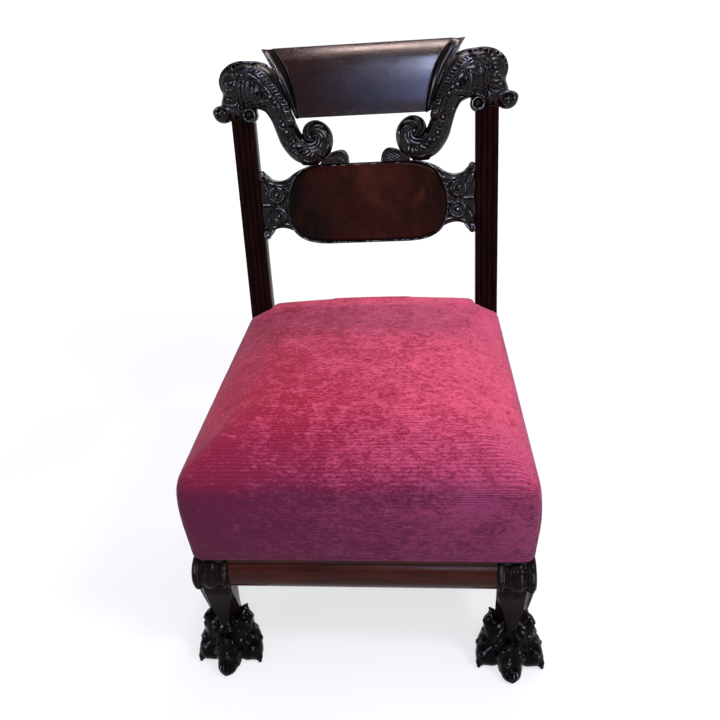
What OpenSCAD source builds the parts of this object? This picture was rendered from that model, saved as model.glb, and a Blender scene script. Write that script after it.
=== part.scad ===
// Slipper chair: a rolled crest rail held between two carved dolphins, a shaped
// cross rail with an oval panel, an overstuffed sprung seat, a half-round front
// moulding between turned drums, and short front legs with lion paws.
// The chair faces -Y, stands on z = 0 and is centred on the origin in plan.

/* [Seat] */
// Width over the cover at the front, where it bulges most
seat_front_w = 519; // [512:1:524]
// Width over the cover at the back posts
seat_rear_w = 466; // [464:1:472]
// Height of the crown
crown_z = 422; // [412:1:430]
// Height of the rounded front shoulder of the cover
front_shoulder_z = 345; // [335:1:352]
// Height of the shoulder of the cover at the back posts
rear_shoulder_z = 384; // [375:1:390]
// Height of the lower edge of the cover
cover_edge_z = 220; // [214:1:226]
// Thickness of the cover cloth with its wadding
cover_t = 2.5; // [2:0.5:3]

/* [Seat frame] */
// Underside of the seat rails
rail_bottom_z = 152; // [150:1:154]
// Top of the seat rails
rail_top_z = 262; // [256:1:264]
// Thickness of the side and rear rails
rail_t = 24; // [20:1:26]
// Radius of the turned drum over each front leg
drum_r = 31; // [29:1:32]
// Height of the axis of the drum
drum_z = 178; // [176:1:180]

/* [Back] */
// Lean of the back posts from upright, in degrees
rake = 10.6; // [10:0.1:11]
// Distance between the centres of the back posts
post_spacing = 418; // [416:1:420]
// Width of a back post across its reeds
post_w = 39; // [38:1:40]
// Height of the top of the back posts
post_top_z = 738; // [736:1:740]
// Thickness of the rolled crest rail
crest_t = 22; // [20:1:23]
// Thickness of the cross rail
cross_t = 20; // [18:1:22]

/* [Springs] */
// Diameter of the wire of a seat spring
spring_wire = 3.8; // [3:0.2:4.4]
// Turns in a seat spring
spring_turns = 5; // [4:1:6]

/* [Hidden] */

// Clearance left between two pieces that meet
gap = 0.1;
mahogany = "#2a0f0b";
dark_mahogany = "#170a09";
red_mahogany = "#4a1a12";
rose_cloth = "#a83558";
jute = "#a98a5c";
steel = "#8b8d90";

// The back leans from a line across the fronts of the posts at this place
lean_y = 176;
lean_z = 407;
post_in = (post_spacing - post_w) / 2;
post_out = (post_spacing + post_w) / 2;
post_mid = post_spacing / 2;
post_top_depth = 28;
post_knee_y = 148;
post_knee_back_y = 193;

function mix(a, b, t) = a + (b - a) * t;
function bend(a, b, c, t) = (1 - t) * (1 - t) * a + 2 * t * (1 - t) * b + t * t * c;
// Points along a quadratic curve from a to c, pulled towards b, without its last point
function curve(a, b, c, steps = 8) = [for (i = [0:steps - 1]) bend(a, b, c, i / steps)];
function front_plane_y(z) = lean_y + (z - lean_z) * tan(rake);
// Height up the leaning back of a level z
function lift(z) = (z - lean_z) / cos(rake);
function mirrored(points) = [for (i = [len(points) - 1:-1:0]) [-points[i][0], points[i][1]]];

// Children drawn with X across, Y into the back and Z up its lean
module on_back() {
    translate([0, lean_y, lean_z])
        rotate([-rake, 0, 0])
            children();
}

// A flat outline in X and Z, cut through from depth a to depth b
module board(a, b) {
    translate([0, b, 0])
        rotate([90, 0, 0])
            linear_extrude(b - a)
                children();
}

// A flat outline in Y and Z, carried along X from a to b
module along_x(a, b) {
    translate([a, 0, 0])
        rotate([90, 0, 90])
            linear_extrude(b - a)
                children();
}

module peg_x(a, b, y, z, r) {
    translate([a, y, z])
        rotate([0, 90, 0])
            cylinder(r = r, h = b - a, $fn = 32);
}

module peg_y(a, b, x, z, r) {
    translate([x, a, z])
        rotate([-90, 0, 0])
            cylinder(r = r, h = b - a, $fn = 32);
}

module peg_z(a, b, x, y, r) {
    translate([x, y, a])
        cylinder(r = r, h = b - a, $fn = 32);
}

// Back posts, each with its rear leg in one piece

reed_groove_r = 2.2;
tenon_w = 60;
tenon_t = 10;
tenon_l = 20;
cross_mid_z = 590;
cross_mid_d = 12;
dowel_r = 4;
bore_r = 4.1;
dowel_half = 20;
rail_dowel_low_z = 186;
rail_dowel_high_z = 236;
side_dowel_low_z = 200;
side_dowel_high_z = 250;
side_dowel_rear_x = 214;
rear_dowel_y = 170;
dolphin_dowel_d = 14;
tail_dowel_x = 92;
tail_dowel_low_z = 636;
tail_dowel_top_z = 674;
tail_dowel_r = 3;
tail_bore_r = 3.1;

post_profile = concat(
    curve([196, 0], [post_knee_y, 85], [post_knee_y, 150]),
    [[post_knee_y, 150], [post_knee_y, rail_top_z], [lean_y, lean_z]],
    [[front_plane_y(post_top_z), post_top_z]],
    [[front_plane_y(post_top_z) + post_top_depth * cos(rake),
      post_top_z - post_top_depth * sin(rake)]],
    [[lean_y + 35, lean_z], [post_knee_back_y, rail_top_z]],
    curve([post_knee_back_y, 150], [post_knee_back_y, 80], [234, 0]),
    [[234, 0]]
);

module post_cuts() {
    on_back() {
        for (i = [-1:1])
            translate([post_mid + i * post_w / 4, 0, -2])
                cylinder(r = reed_groove_r, h = lift(post_top_z) - 8, $fn = 24);
        translate([post_in - 1, cross_mid_d - tenon_t / 2 - gap, lift(cross_mid_z) - tenon_w / 2 - gap])
            cube([tenon_l + 1.5, tenon_t + 2 * gap, tenon_w + 2 * gap]);
        peg_z(lift(post_top_z) - dowel_half - 0.5, lift(post_top_z) + 5, post_mid, dolphin_dowel_d, bore_r);
    }
    for (z = [rail_dowel_low_z, rail_dowel_high_z])
        peg_x(post_in - 1, post_in + dowel_half + 0.5, rear_dowel_y, z, bore_r);
    for (z = [side_dowel_low_z, side_dowel_high_z])
        peg_y(post_knee_y - 1, post_knee_y + dowel_half + 0.5, side_dowel_rear_x, z, bore_r);
}

module back_post() {
    difference() {
        along_x(post_in, post_out) polygon(post_profile);
        post_cuts();
    }
}

module left_back_post() {
    color(mahogany) mirror([1, 0, 0]) back_post();
}

module right_back_post() {
    color(mahogany) back_post();
}

// Crest rail: a board bent back along one curve and rolled over at its top

crest_low = [212.5, 739];
crest_pull = [246.9, 812.9];
crest_high = [307.9, 835.9];
face_half = [106, 111, 152];
end_half = [110, 144.5, 175];
crest_steps = 16;
roll_steps = 10;

function crest_front(t) = bend(crest_low, crest_pull, crest_high, t);
function crest_run(t) = mix(crest_pull - crest_low, crest_high - crest_pull, t);
// The normal of the crest's front, pointing into the wood
function crest_in(t) = [crest_run(t)[1], -crest_run(t)[0]] / norm(crest_run(t));
function crest_at(t, depth) = crest_front(t) + crest_in(t) * depth;
function crest_profile(inset) = concat(
    [for (i = [0:crest_steps]) crest_at(i / crest_steps, inset)],
    [for (i = [1:roll_steps])
        crest_at(1, crest_t / 2)
            + (crest_t / 2 - inset) * (-cos(180 * i / roll_steps) * crest_in(1)
                + sin(180 * i / roll_steps) * crest_run(1) / norm(crest_run(1)))],
    [for (i = [crest_steps - 1:-1:0]) crest_at(i / crest_steps, crest_t - inset)]
);
// Distance up the crest, seen square to its middle
function crest_rise(t) = (crest_front(t) - crest_low) * [1, 1] / sqrt(2);
function crest_edge(half) = concat(
    [[half[0], -25]],
    [for (i = [0:12]) [bend(half[0], half[1], half[2], i / 12), crest_rise(i / 12)]],
    [[half[2], 165]]
);

// An outline in X and in distance up the crest, cut square through its middle
module crest_cut() {
    translate([0, crest_low[0], crest_low[1]])
        rotate([45, 0, 0])
            linear_extrude(170, center = true)
                children();
}

crest_dowel_t = [0.25, 0.55];
crest_dowel_x = [[92, 150], [102, 172]];

module crest_dowel_set(r, grow) {
    for (i = [0:1]) {
        p = crest_at(crest_dowel_t[i], crest_t / 2);
        peg_x(crest_dowel_x[i][0] - grow, crest_dowel_x[i][1] + grow, p[0], p[1], r);
    }
}

module crest_rail() {
    outline = crest_edge(face_half);
    color(mahogany)
        difference() {
            intersection() {
                along_x(-170, 170) polygon(crest_profile(0));
                crest_cut() polygon(concat(outline, mirrored(outline)));
            }
            crest_dowel_set(bore_r, 0.5);
            mirror([1, 0, 0]) crest_dowel_set(bore_r, 0.5);
        }
}

module crest_end() {
    inner = [for (p = crest_edge(face_half)) [p[0] + gap, p[1]]];
    outer = crest_edge(end_half);
    difference() {
        intersection() {
            along_x(90, 200) polygon(crest_profile(1.5));
            crest_cut() polygon(concat(inner, [for (i = [len(outer) - 1:-1:0]) outer[i]]));
        }
        crest_dowel_set(bore_r, 0.5);
    }
}

module left_crest_end() {
    color(dark_mahogany) mirror([1, 0, 0]) crest_end();
}

module right_crest_end() {
    color(dark_mahogany) crest_end();
}

module crest_dowels() {
    color("tan") {
        crest_dowel_set(dowel_r, 0);
        mirror([1, 0, 0]) crest_dowel_set(dowel_r, 0);
    }
}

// Dolphins. Each station is [across, level, radius, depth, half depth].

ball_fn = 14;
body_stations = [
    [213, 795, 31, 13, 25], [195, 792, 33, 10, 26], [176, 788, 36, 6, 26],
    [160, 775, 29, 2, 24], [147, 760, 23, 0, 22], [139, 736, 19, 2, 20],
    [131, 712, 19.5, 5, 19], [122, 692, 20, 8, 18.5], [108, 679, 21, 10, 18],
    [92, 676, 20, 11, 17.5], [77, 682, 18, 12, 17], [71, 697, 16, 12, 16],
    [76, 712, 15, 12, 15], [88, 718, 12.5, 12, 14], [98, 712, 10, 12, 14],
    [97, 703, 8.5, 12, 14], [89, 699, 8, 12, 15]
];
beak_stations = [[226, 765, 17, 12, 19], [233, 748, 15, 12, 18], [246, 745, 13.5, 12, 16], [257, 749, 6, 12, 10]];
jaw_stations = [[194, 766, 15, 10, 18], [195.5, 747, 11.5, 10, 17]];
tail_eye = [84, 702];
// Depth at which the space in front of the crest begins, square to its middle
crest_front_reach = -10;

function station(s) = [s[0], s[3], lift(s[1])];

module ball(s) {
    translate(station(s))
        scale([1, s[4] / s[2], 1])
            sphere(r = s[2], $fn = ball_fn);
}

module chain(stations) {
    for (i = [0:len(stations) - 2])
        hull() {
            ball(stations[i]);
            ball(stations[i + 1]);
        }
}

// Scalloped gill leaves that lie over the neck behind the head
module gill_leaves() {
    for (i = [0:3])
        hull() {
            ball([176 + 9 * i, 772 - i, 6, -12 + i, 8]);
            ball([184 + 8 * i, 806 - 2 * i, 9, -6 + i, 10]);
        }
}

module brow() {
    hull() {
        ball([214, 800, 10, -9, 8]);
        ball([236, 792, 8, -2, 9]);
    }
    ball([228, 778, 9, -9, 8]);
}

// The space of the crest rail and its end, and the open space in front of them
module crest_room() {
    edge = [for (p = crest_edge(end_half)) [p[0] + gap, max(p[1], 0)]];
    room = concat([[40, 0]], edge, [[40, 165]]);
    translate([0, crest_low[0], crest_low[1]])
        rotate([45, 0, 0])
            translate([0, 0, crest_front_reach])
                linear_extrude(85)
                    polygon(room);
    intersection() {
        along_x(40, 200) polygon(crest_profile(-2 * gap));
        crest_cut() polygon(concat([[40, -25]], [for (p = crest_edge(end_half)) [p[0] + gap, p[1]]], [[40, 165]]));
    }
}

module dolphin() {
    difference() {
        union() {
            on_back() {
                chain(body_stations);
                chain(beak_stations);
                chain(jaw_stations);
                gill_leaves();
                brow();
                translate([tail_eye[0], 24, lift(tail_eye[1])])
                    rotate([90, 0, 0])
                        cylinder(r = 24, h = 16, $fn = 24);
            }
        }
        crest_room();
        on_back() {
            translate([post_in - gap, -40, -20])
                cube([post_w + 2 * gap, 100, lift(post_top_z) + 20 + gap]);
            peg_z(lift(post_top_z) - 5, lift(post_top_z) + dowel_half + 0.5, post_mid, dolphin_dowel_d, bore_r);
            peg_z(lift(630), lift(tail_dowel_top_z) + 0.5, tail_dowel_x, cross_mid_d, tail_bore_r);
        }
        crest_dowel_set(bore_r, 0.5);
    }
}

module left_dolphin() {
    color(dark_mahogany) mirror([1, 0, 0]) dolphin();
}

module right_dolphin() {
    color(dark_mahogany) dolphin();
}

module dolphin_dowel_set() {
    on_back() {
        peg_z(lift(post_top_z) - dowel_half, lift(post_top_z) + dowel_half, post_mid, dolphin_dowel_d, dowel_r);
        peg_z(lift(tail_dowel_low_z), lift(tail_dowel_top_z), tail_dowel_x, cross_mid_d, tail_dowel_r);
    }
}

module dolphin_dowels() {
    color("tan") {
        dolphin_dowel_set();
        mirror([1, 0, 0]) dolphin_dowel_set();
    }
}

// Cross rail, its oval panel and the leaf scrolls on its top

cross_front_d = 2;
cross_half = concat(
    curve([84, 522.6], [104, 522.6], [122, 535.5], 5),
    curve([122, 535.5], [150, 556], [170, 546], 6),
    curve([170, 546], [174, 533], [post_in - gap, 531.5], 5),
    [[post_in - gap, 531.5]],
    curve([post_in - gap, 647], [178, 645.5], [170, 634], 5),
    curve([170, 634], [150, 625], [132, 639.5], 6),
    curve([132, 639.5], [112, 654.5], [80, 655], 5),
    [[80, 655]]
);
panel_half = concat(
    curve([70, 524.5], [122, 524.5], [133, 553], 7),
    curve([133, 553], [145, 588], [130, 620], 7),
    curve([130, 620], [118, 653], [70, 653.5], 7),
    [[70, 653.5]]
);
rosettes = [[160, 607.5], [157.5, 571.5]];
panel_t = 2;

function raised(points) = [for (p = points) [p[0], lift(p[1])]];

module rosette(x, z) {
    translate([x, cross_front_d + 0.5, lift(z)])
        rotate([90, 0, 0])
            rotate_extrude($fn = 40)
                polygon([[0, 0], [14, 0], [14, 3.5], [12.5, 5], [10, 5], [8.5, 2.5], [6, 2.5], [5, 6], [0, 7]]);
}

module cross_rail_half() {
    board(cross_front_d, cross_front_d + cross_t)
        polygon(concat(raised(cross_half), [[0, lift(655)], [0, lift(522.6)]]));
    for (r = rosettes)
        rosette(r[0], r[1]);
    translate([post_in - 2, cross_mid_d - tenon_t / 2, lift(cross_mid_z) - tenon_w / 2])
        cube([tenon_l + 2, tenon_t, tenon_w]);
}

module cross_rail() {
    color(dark_mahogany)
        difference() {
            on_back() {
                cross_rail_half();
                mirror([1, 0, 0]) cross_rail_half();
            }
            on_back()
                for (side = [-1, 1])
                    peg_z(lift(tail_dowel_low_z) - 0.5, lift(680), side * tail_dowel_x, cross_mid_d, tail_bore_r);
        }
}

module cross_rail_panel() {
    outline = raised(panel_half);
    color(red_mahogany)
        on_back()
            board(cross_front_d - panel_t, cross_front_d - gap / 2)
                polygon(concat(outline, mirrored(outline)));
}

module leaf_scroll() {
    on_back()
        board(0, 24) {
            translate([37.5, lift(666.5)])
                circle(r = 11, $fn = 32);
            polygon(raised([[27, 655.2], [61, 655.2], [57, 666], [46, 677.5], [36, 677]]));
        }
}

// The tail of the dolphin stands beside the scroll, which is cut back from it
module fitted_leaf_scroll() {
    difference() {
        leaf_scroll();
        on_back()
            board(-5, 30)
                translate([84, lift(690)])
                    circle(r = 39, $fn = 48);
    }
}

module left_leaf_scroll() {
    color(dark_mahogany) mirror([1, 0, 0]) fitted_leaf_scroll();
}

module right_leaf_scroll() {
    color(dark_mahogany) fitted_leaf_scroll();
}

// Plan of the seat: half widths of the cover and of the rails at a distance back

seat_front_y = -283;
seat_corner_y = -261;
seat_rear_y = 176;
rail_inset = 8;
drum_y = -261;
drum_in = 200;
drum_out = 256;
stump_out = 244;
stump_front_y = -272;
stump_back_y = -236;
front_rail_back_y = -243;
front_rail_face_y = -267;
front_rail_pad_y = -275.8;
moulding_top_z = 206;
moulding_rise = 18;
rear_rail_y = 158;

function cover_half(y) = mix(seat_front_w, seat_rear_w, (y - seat_corner_y) / (seat_rear_y - seat_corner_y)) / 2;
function rail_outer(y) = cover_half(y) - rail_inset;
function rail_inner(y) = rail_outer(y) - rail_t;

// Screws that hold the corner blocks: the underside of the head and the length
screw_r = 2;
screw_head_r = 4;
screw_head_t = 3;
front_screw_y = [180, -227, 217, 36];
front_screw_x = [197, -212, 226, 42];
rear_screw_y = [168, 136, 217, 38];
rear_screw_x = [185, 120, 226, 37];

module screw(length) {
    cylinder(r = screw_r, h = length, $fn = 24);
    translate([0, 0, -screw_head_t])
        difference() {
            cylinder(r = screw_head_r, h = screw_head_t + 0.01, $fn = 32);
            translate([-screw_head_r - 1, -0.5, -1])
                cube([2 * screw_head_r + 2, 1, 2]);
        }
}

module screw_way(length, r) {
    cylinder(r = r, h = length + 0.5, $fn = 24);
    translate([0, 0, -30])
        cylinder(r = screw_head_r + 0.4, h = 30, $fn = 32);
}

module front_corner_places() {
    translate([front_screw_y[0], front_screw_y[1], front_screw_y[2]])
        rotate([90, 0, 0])
            children(0);
    translate([front_screw_x[0], front_screw_x[1], front_screw_x[2]])
        rotate([0, 90, 0])
            children(1);
}

module rear_corner_places() {
    translate([rear_screw_y[0], rear_screw_y[1], rear_screw_y[2]])
        rotate([-90, 0, 0])
            children(0);
    translate([rear_screw_x[0], rear_screw_x[1], rear_screw_x[2]])
        rotate([0, 90, 0])
            children(1);
}

module screw_pilots() {
    front_corner_places() {
        screw_way(front_screw_y[3], screw_r + 0.05);
        screw_way(front_screw_x[3], screw_r + 0.05);
    }
    rear_corner_places() {
        screw_way(rear_screw_y[3], screw_r + 0.05);
        screw_way(rear_screw_x[3], screw_r + 0.05);
    }
}

module corner_block_screws() {
    color(steel)
        for (side = [0, 1])
            mirror([side, 0, 0]) {
                front_corner_places() {
                    screw(front_screw_y[3]);
                    screw(front_screw_x[3]);
                }
                rear_corner_places() {
                    screw(rear_screw_y[3]);
                    screw(rear_screw_x[3]);
                }
            }
}

// Dowels of the seat frame, as bores when r is the bore's radius

front_dowel_x = 200;
front_dowel_y = -255;
side_dowel_front_x = 236;

module rail_dowel_set(r, grow) {
    for (z = [rail_dowel_low_z, rail_dowel_high_z]) {
        peg_x(front_dowel_x - dowel_half - grow, front_dowel_x + dowel_half + grow, front_dowel_y, z, r);
        peg_x(post_in - dowel_half - grow, post_in + dowel_half + grow, rear_dowel_y, z, r);
    }
    for (z = [side_dowel_low_z, side_dowel_high_z]) {
        peg_y(stump_back_y - dowel_half - grow, stump_back_y + dowel_half + grow, side_dowel_front_x, z, r);
        peg_y(post_knee_y - dowel_half - grow, post_knee_y + dowel_half + grow, side_dowel_rear_x, z, r);
    }
}

module rail_dowels() {
    color("tan") {
        rail_dowel_set(dowel_r, 0);
        mirror([1, 0, 0]) rail_dowel_set(dowel_r, 0);
    }
}

// Places of the tacks that hold the dust cover up to the rails

tack_x = [-150, -50, 50, 150];
tack_side_y = [-205, -98, 8, 112];
tack_places = concat(
    [for (x = tack_x) [x, -257]],
    [for (x = tack_x) [x, 170]],
    [for (side = [-1, 1]) for (y = tack_side_y) [side * (rail_outer(y) - rail_t / 2), y]]
);
dust_cover_z = 147;
dust_cover_t = 0.6;

module tack_pilots() {
    for (p = tack_places)
        peg_z(rail_bottom_z - 1, rail_bottom_z + 8.5, p[0], p[1], 0.85);
}

module front_rail() {
    profile = [
        [front_rail_face_y, rail_bottom_z], [front_rail_back_y, rail_bottom_z],
        [front_rail_back_y, rail_top_z], [front_rail_pad_y, rail_top_z],
        [front_rail_pad_y, moulding_top_z + 1], [front_rail_face_y, moulding_top_z + 1]
    ];
    color(mahogany)
        difference() {
            along_x(gap - drum_in, drum_in - gap) polygon(profile);
            rail_dowel_set(bore_r, 0.5);
            mirror([1, 0, 0]) rail_dowel_set(bore_r, 0.5);
            screw_pilots();
            mirror([1, 0, 0]) screw_pilots();
            tack_pilots();
        }
}

module front_rail_moulding() {
    half = (moulding_top_z - rail_bottom_z) / 2;
    arc_r = (half * half + moulding_rise * moulding_rise) / (2 * moulding_rise);
    color(red_mahogany)
        intersection() {
            peg_x(gap - drum_in, drum_in - gap, front_rail_face_y - moulding_rise + arc_r, rail_bottom_z + half, arc_r);
            translate([-drum_in, front_rail_face_y - 40 - gap, rail_bottom_z])
                cube([2 * drum_in, 40, moulding_top_z - rail_bottom_z]);
        }
}

module side_rail() {
    front = stump_back_y + gap;
    back = post_knee_y - gap;
    difference() {
        translate([0, 0, rail_bottom_z])
            linear_extrude(rail_top_z - rail_bottom_z)
                polygon([[rail_inner(front), front], [rail_outer(front), front], [rail_outer(back), back], [rail_inner(back), back]]);
        rail_dowel_set(bore_r, 0.5);
        screw_pilots();
        tack_pilots();
    }
}

module left_side_rail() {
    color(mahogany) mirror([1, 0, 0]) side_rail();
}

module right_side_rail() {
    color(mahogany) side_rail();
}

module rear_rail() {
    half = post_in - gap;
    color(mahogany)
        difference() {
            translate([-half, rear_rail_y, rail_bottom_z])
                cube([2 * half, rail_t, rail_top_z - rail_bottom_z]);
            rail_dowel_set(bore_r, 0.5);
            mirror([1, 0, 0]) rail_dowel_set(bore_r, 0.5);
            screw_pilots();
            mirror([1, 0, 0]) screw_pilots();
            tack_pilots();
        }
}

// Corner blocks, notched round the leg or the post

block_low_z = 196;
block_t = 44;

module corner_block(outline) {
    difference() {
        translate([0, 0, block_low_z])
            linear_extrude(block_t)
                polygon(outline);
        children();
    }
}

module block_ways() {
    front_corner_places() {
        screw_way(front_screw_y[3], screw_r + 0.3);
        screw_way(front_screw_x[3], screw_r + 0.3);
    }
    rear_corner_places() {
        screw_way(rear_screw_y[3], screw_r + 0.3);
        screw_way(rear_screw_x[3], screw_r + 0.3);
    }
}

module front_corner_block() {
    y = front_rail_back_y + gap;
    notch = stump_back_y + gap;
    corner_block([
        [152, y], [drum_in - gap, y], [drum_in - gap, notch],
        [rail_inner(notch) - gap, notch], [rail_inner(-190) - gap, -190]
    ])
        block_ways();
}

module rear_corner_block() {
    y = rear_rail_y - gap;
    notch = post_knee_y - gap;
    corner_block([
        [140, y], [post_in - gap, y], [post_in - gap, notch],
        [rail_inner(notch) - gap, notch], [rail_inner(100) - gap, 100]
    ])
        block_ways();
}

module front_left_corner_block() {
    color("burlywood") mirror([1, 0, 0]) front_corner_block();
}

module front_right_corner_block() {
    color("burlywood") front_corner_block();
}

module rear_left_corner_block() {
    color("burlywood") mirror([1, 0, 0]) rear_corner_block();
}

module rear_right_corner_block() {
    color("burlywood") rear_corner_block();
}

// Front legs: a turned drum over a chamfered shaft that ends in a lion paw

leg_x = 223;
paw_fn = 14;
// Sections of the shaft: level, half width, front and back
shaft_sections = [
    [153, 22.9, -285, -238], [130, 23, -281, -240], [106, 23.2, -279, -242], [84, 23.3, -279, -240], [62, 25, -282, -238]
];
shaft_chamfer = 7;
drum_profile = [
    [0, 0], [drum_r, 0], [drum_r, 9], [drum_r - 4, 11.5], [drum_r - 4, 17.5], [drum_r, 20],
    [drum_r, 37], [drum_r - 4, 39.5], [drum_r - 4, 43.5], [drum_r, 46], [drum_r, 53],
    [drum_r - 3, 56], [0, 56]
];

module shaft_slice(s) {
    c = shaft_chamfer;
    translate([leg_x, 0, s[0]])
        linear_extrude(0.5)
            polygon([
                [-s[1], s[2] + c], [c - s[1], s[2]], [s[1] - c, s[2]], [s[1], s[2] + c],
                [s[1], s[3] - c], [s[1] - c, s[3]], [c - s[1], s[3]], [-s[1], s[3] - c]
            ]);
}

module paw_ball(x, y, z, r) {
    translate([leg_x + x, y, z])
        sphere(r = r, $fn = paw_fn);
}

// A toe from its knuckle to its pad, with a blunt end that runs down to the claw's point
module toe(knuckle, pad, end, tip) {
    hull() {
        paw_ball(knuckle[0], knuckle[1], knuckle[2], knuckle[3]);
        paw_ball(pad[0], pad[1], pad[2], pad[3]);
    }
    hull() {
        paw_ball(pad[0], pad[1], pad[2], pad[3] - 1);
        paw_ball(end[0], end[1], end[2], end[3]);
        paw_ball(tip[0], tip[1], 3.5, 3.2);
    }
}

module paw() {
    hull() {
        paw_ball(0, -257, 66, 23);
        paw_ball(0, -254, 16, 22);
        paw_ball(0, -276, 18, 23);
        for (side = [-1, 1]) {
            paw_ball(side * 20, -258, 56, 19);
            paw_ball(side * 24, -262, 24, 20);
        }
    }
    toe([0, -284, 46, 20], [0, -296, 18, 21], [0, -309, 18, 11], [0, -319.8]);
    for (side = [-1, 1]) {
        toe([side * 25, -268, 44, 19], [side * 31, -277, 16, 18], [side * 41, -283, 19, 10], [side * 47, -292]);
        hull() {
            paw_ball(side * 20, -260, 60, 16);
            paw_ball(side * 31, -256, 74, 7);
        }
    }
}

module front_leg() {
    difference() {
        union() {
            translate([drum_in, drum_y, drum_z])
                rotate([0, 90, 0])
                    rotate_extrude($fn = 56)
                        polygon(drum_profile);
            translate([drum_in, stump_front_y, rail_bottom_z])
                cube([stump_out - drum_in, stump_back_y - stump_front_y, rail_top_z - rail_bottom_z]);
            for (i = [0:len(shaft_sections) - 2])
                hull() {
                    shaft_slice(shaft_sections[i]);
                    shaft_slice(shaft_sections[i + 1]);
                }
            paw();
        }
        translate([0, -400, -100])
            cube([400, 400, 100]);
        translate([drum_in - 1, stump_back_y, 100])
            cube([80, 60, 200]);
        rail_dowel_set(bore_r, 0.5);
    }
}

module left_front_leg() {
    color(dark_mahogany) mirror([1, 0, 0]) front_leg();
}

module right_front_leg() {
    color(dark_mahogany) front_leg();
}

// Webbing under the springs: three straps each way, woven over and under

strap_w = 50;
strap_t = 1.6;
strap_x = [-95, 0, 95];
strap_y = [-150, -45, 60];
strap_mid_z = rail_bottom_z - 0.1 - strap_t / 2;
strap_step = strap_t + 0.2;

module webbing_front_to_back() {
    color(jute)
        for (x = strap_x)
            translate([x - strap_w / 2, -264, strap_mid_z - strap_t / 2])
                cube([strap_w, 440, strap_t]);
}

// The path of a woven strap: above the first strap it crosses when first is 1
function weave(first, end) = [
    [-end, strap_mid_z], [-146, strap_mid_z],
    [-128, strap_mid_z + first * strap_step], [-62, strap_mid_z + first * strap_step],
    [-33, strap_mid_z - first * strap_step], [33, strap_mid_z - first * strap_step],
    [62, strap_mid_z + first * strap_step], [128, strap_mid_z + first * strap_step],
    [146, strap_mid_z], [end, strap_mid_z]
];

module webbing_side_to_side() {
    color(jute)
        for (i = [0:2]) {
            y = strap_y[i];
            path = weave(i == 1 ? -1 : 1, rail_outer(y) - 4);
            upper = [for (p = path) [p[0], p[1] + strap_t / 2]];
            lower = [for (k = [len(path) - 1:-1:0]) [path[k][0], path[k][1] - strap_t / 2]];
            translate([0, y - strap_w / 2, 0])
                board(0, strap_w)
                    polygon(concat(upper, lower));
        }
}

// A round tube of six sides along a path, closed at both ends

tube_sides = 6;

function unit(v) = v / norm(v);
function path_run(path, i) = unit(path[min(i + 1, len(path) - 1)] - path[max(i - 1, 0)]);
function tube_ring(path, i, r) =
    let (run = path_run(path, i), across = unit(cross(run, [0, 0, 1])), up = cross(across, run))
        [for (k = [0:tube_sides - 1]) path[i] + r * (cos(360 * k / tube_sides) * across + sin(360 * k / tube_sides) * up)];

// A closed skin over rings of points, with a pole before the first and after the last
module skin(rings, first_pole, last_pole) {
    n = len(rings[0]);
    count = len(rings);
    points = concat([for (ring = rings) each ring], [first_pole, last_pole]);
    walls = [for (i = [0:count - 2]) for (k = [0:n - 1])
        let (a = i * n + k, b = i * n + (k + 1) % n)
            each [[a, a + n, b], [b, a + n, b + n]]];
    starts = [for (k = [0:n - 1]) [count * n, k, (k + 1) % n]];
    ends = [for (k = [0:n - 1]) [count * n + 1, (count - 1) * n + (k + 1) % n, (count - 1) * n + k]];
    polyhedron(points = points, faces = concat(walls, starts, ends), convexity = 10);
}

module tube(path, r) {
    last = len(path) - 1;
    skin([for (i = [0:last]) tube_ring(path, i, r)], path[0], path[last]);
}

// Coil springs, waisted, one at each crossing that carries the seat

spring_low_z = 156.2;
spring_high_z = 286;
spring_end_r = 38;
spring_waist_r = 28;
rings_a_turn = 8;
spring_places = [[-95, -150], [95, -150], [0, -45], [-95, 60], [95, 60]];
spring_rings = spring_turns * rings_a_turn;

function spring_r(t) = spring_waist_r + (spring_end_r - spring_waist_r) * (2 * t - 1) * (2 * t - 1);
spring_path = [for (i = [0:spring_rings])
    let (t = i / spring_rings, a = 360 * i / rings_a_turn)
        [spring_r(t) * cos(a), spring_r(t) * sin(a), mix(spring_low_z, spring_high_z, t)]];
spring_least_gap = min([for (i = [0:spring_rings - rings_a_turn])
    norm(spring_path[i + rings_a_turn] - spring_path[i])]) - spring_wire;
echo(spring_least_gap = spring_least_gap);

module seat_springs() {
    color(steel)
        for (p = spring_places)
            translate([p[0], p[1], 0])
                tube(spring_path, spring_wire / 2);
}

// Twine that lashes the tops of the springs down to the rails

twine_r = 1.1;
twine_low_z = spring_high_z + spring_wire / 2 + twine_r + 0.1;
twine_high_z = twine_low_z + 2 * twine_r + 0.2;
twine_rail_z = rail_top_z + twine_r + 0.1;

module spring_twine() {
    color("wheat") {
        for (x = strap_x)
            tube([[x, -249, twine_rail_z], [x, -241, twine_rail_z + 3], [x, -190, twine_low_z],
                [x, 100, twine_low_z], [x, 155, twine_rail_z + 3], [x, 163, twine_rail_z]], twine_r);
        for (y = strap_y) {
            end = rail_inner(y) + 7;
            tube([[-end, y, twine_rail_z], [8 - end, y, twine_rail_z + 2], [-135, y, twine_high_z],
                [135, y, twine_high_z], [end - 8, y, twine_rail_z + 2], [end, y, twine_rail_z]], twine_r);
        }
    }
}

// The overstuffed seat. Its outline at a level z goes round the back posts.

seat_centre = [0, -45];
corner_r = 20;
post_clear = 1.2;

function ease(t) = let (k = min(max(t, 0), 1)) k * k * (3 - 2 * k);
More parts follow.
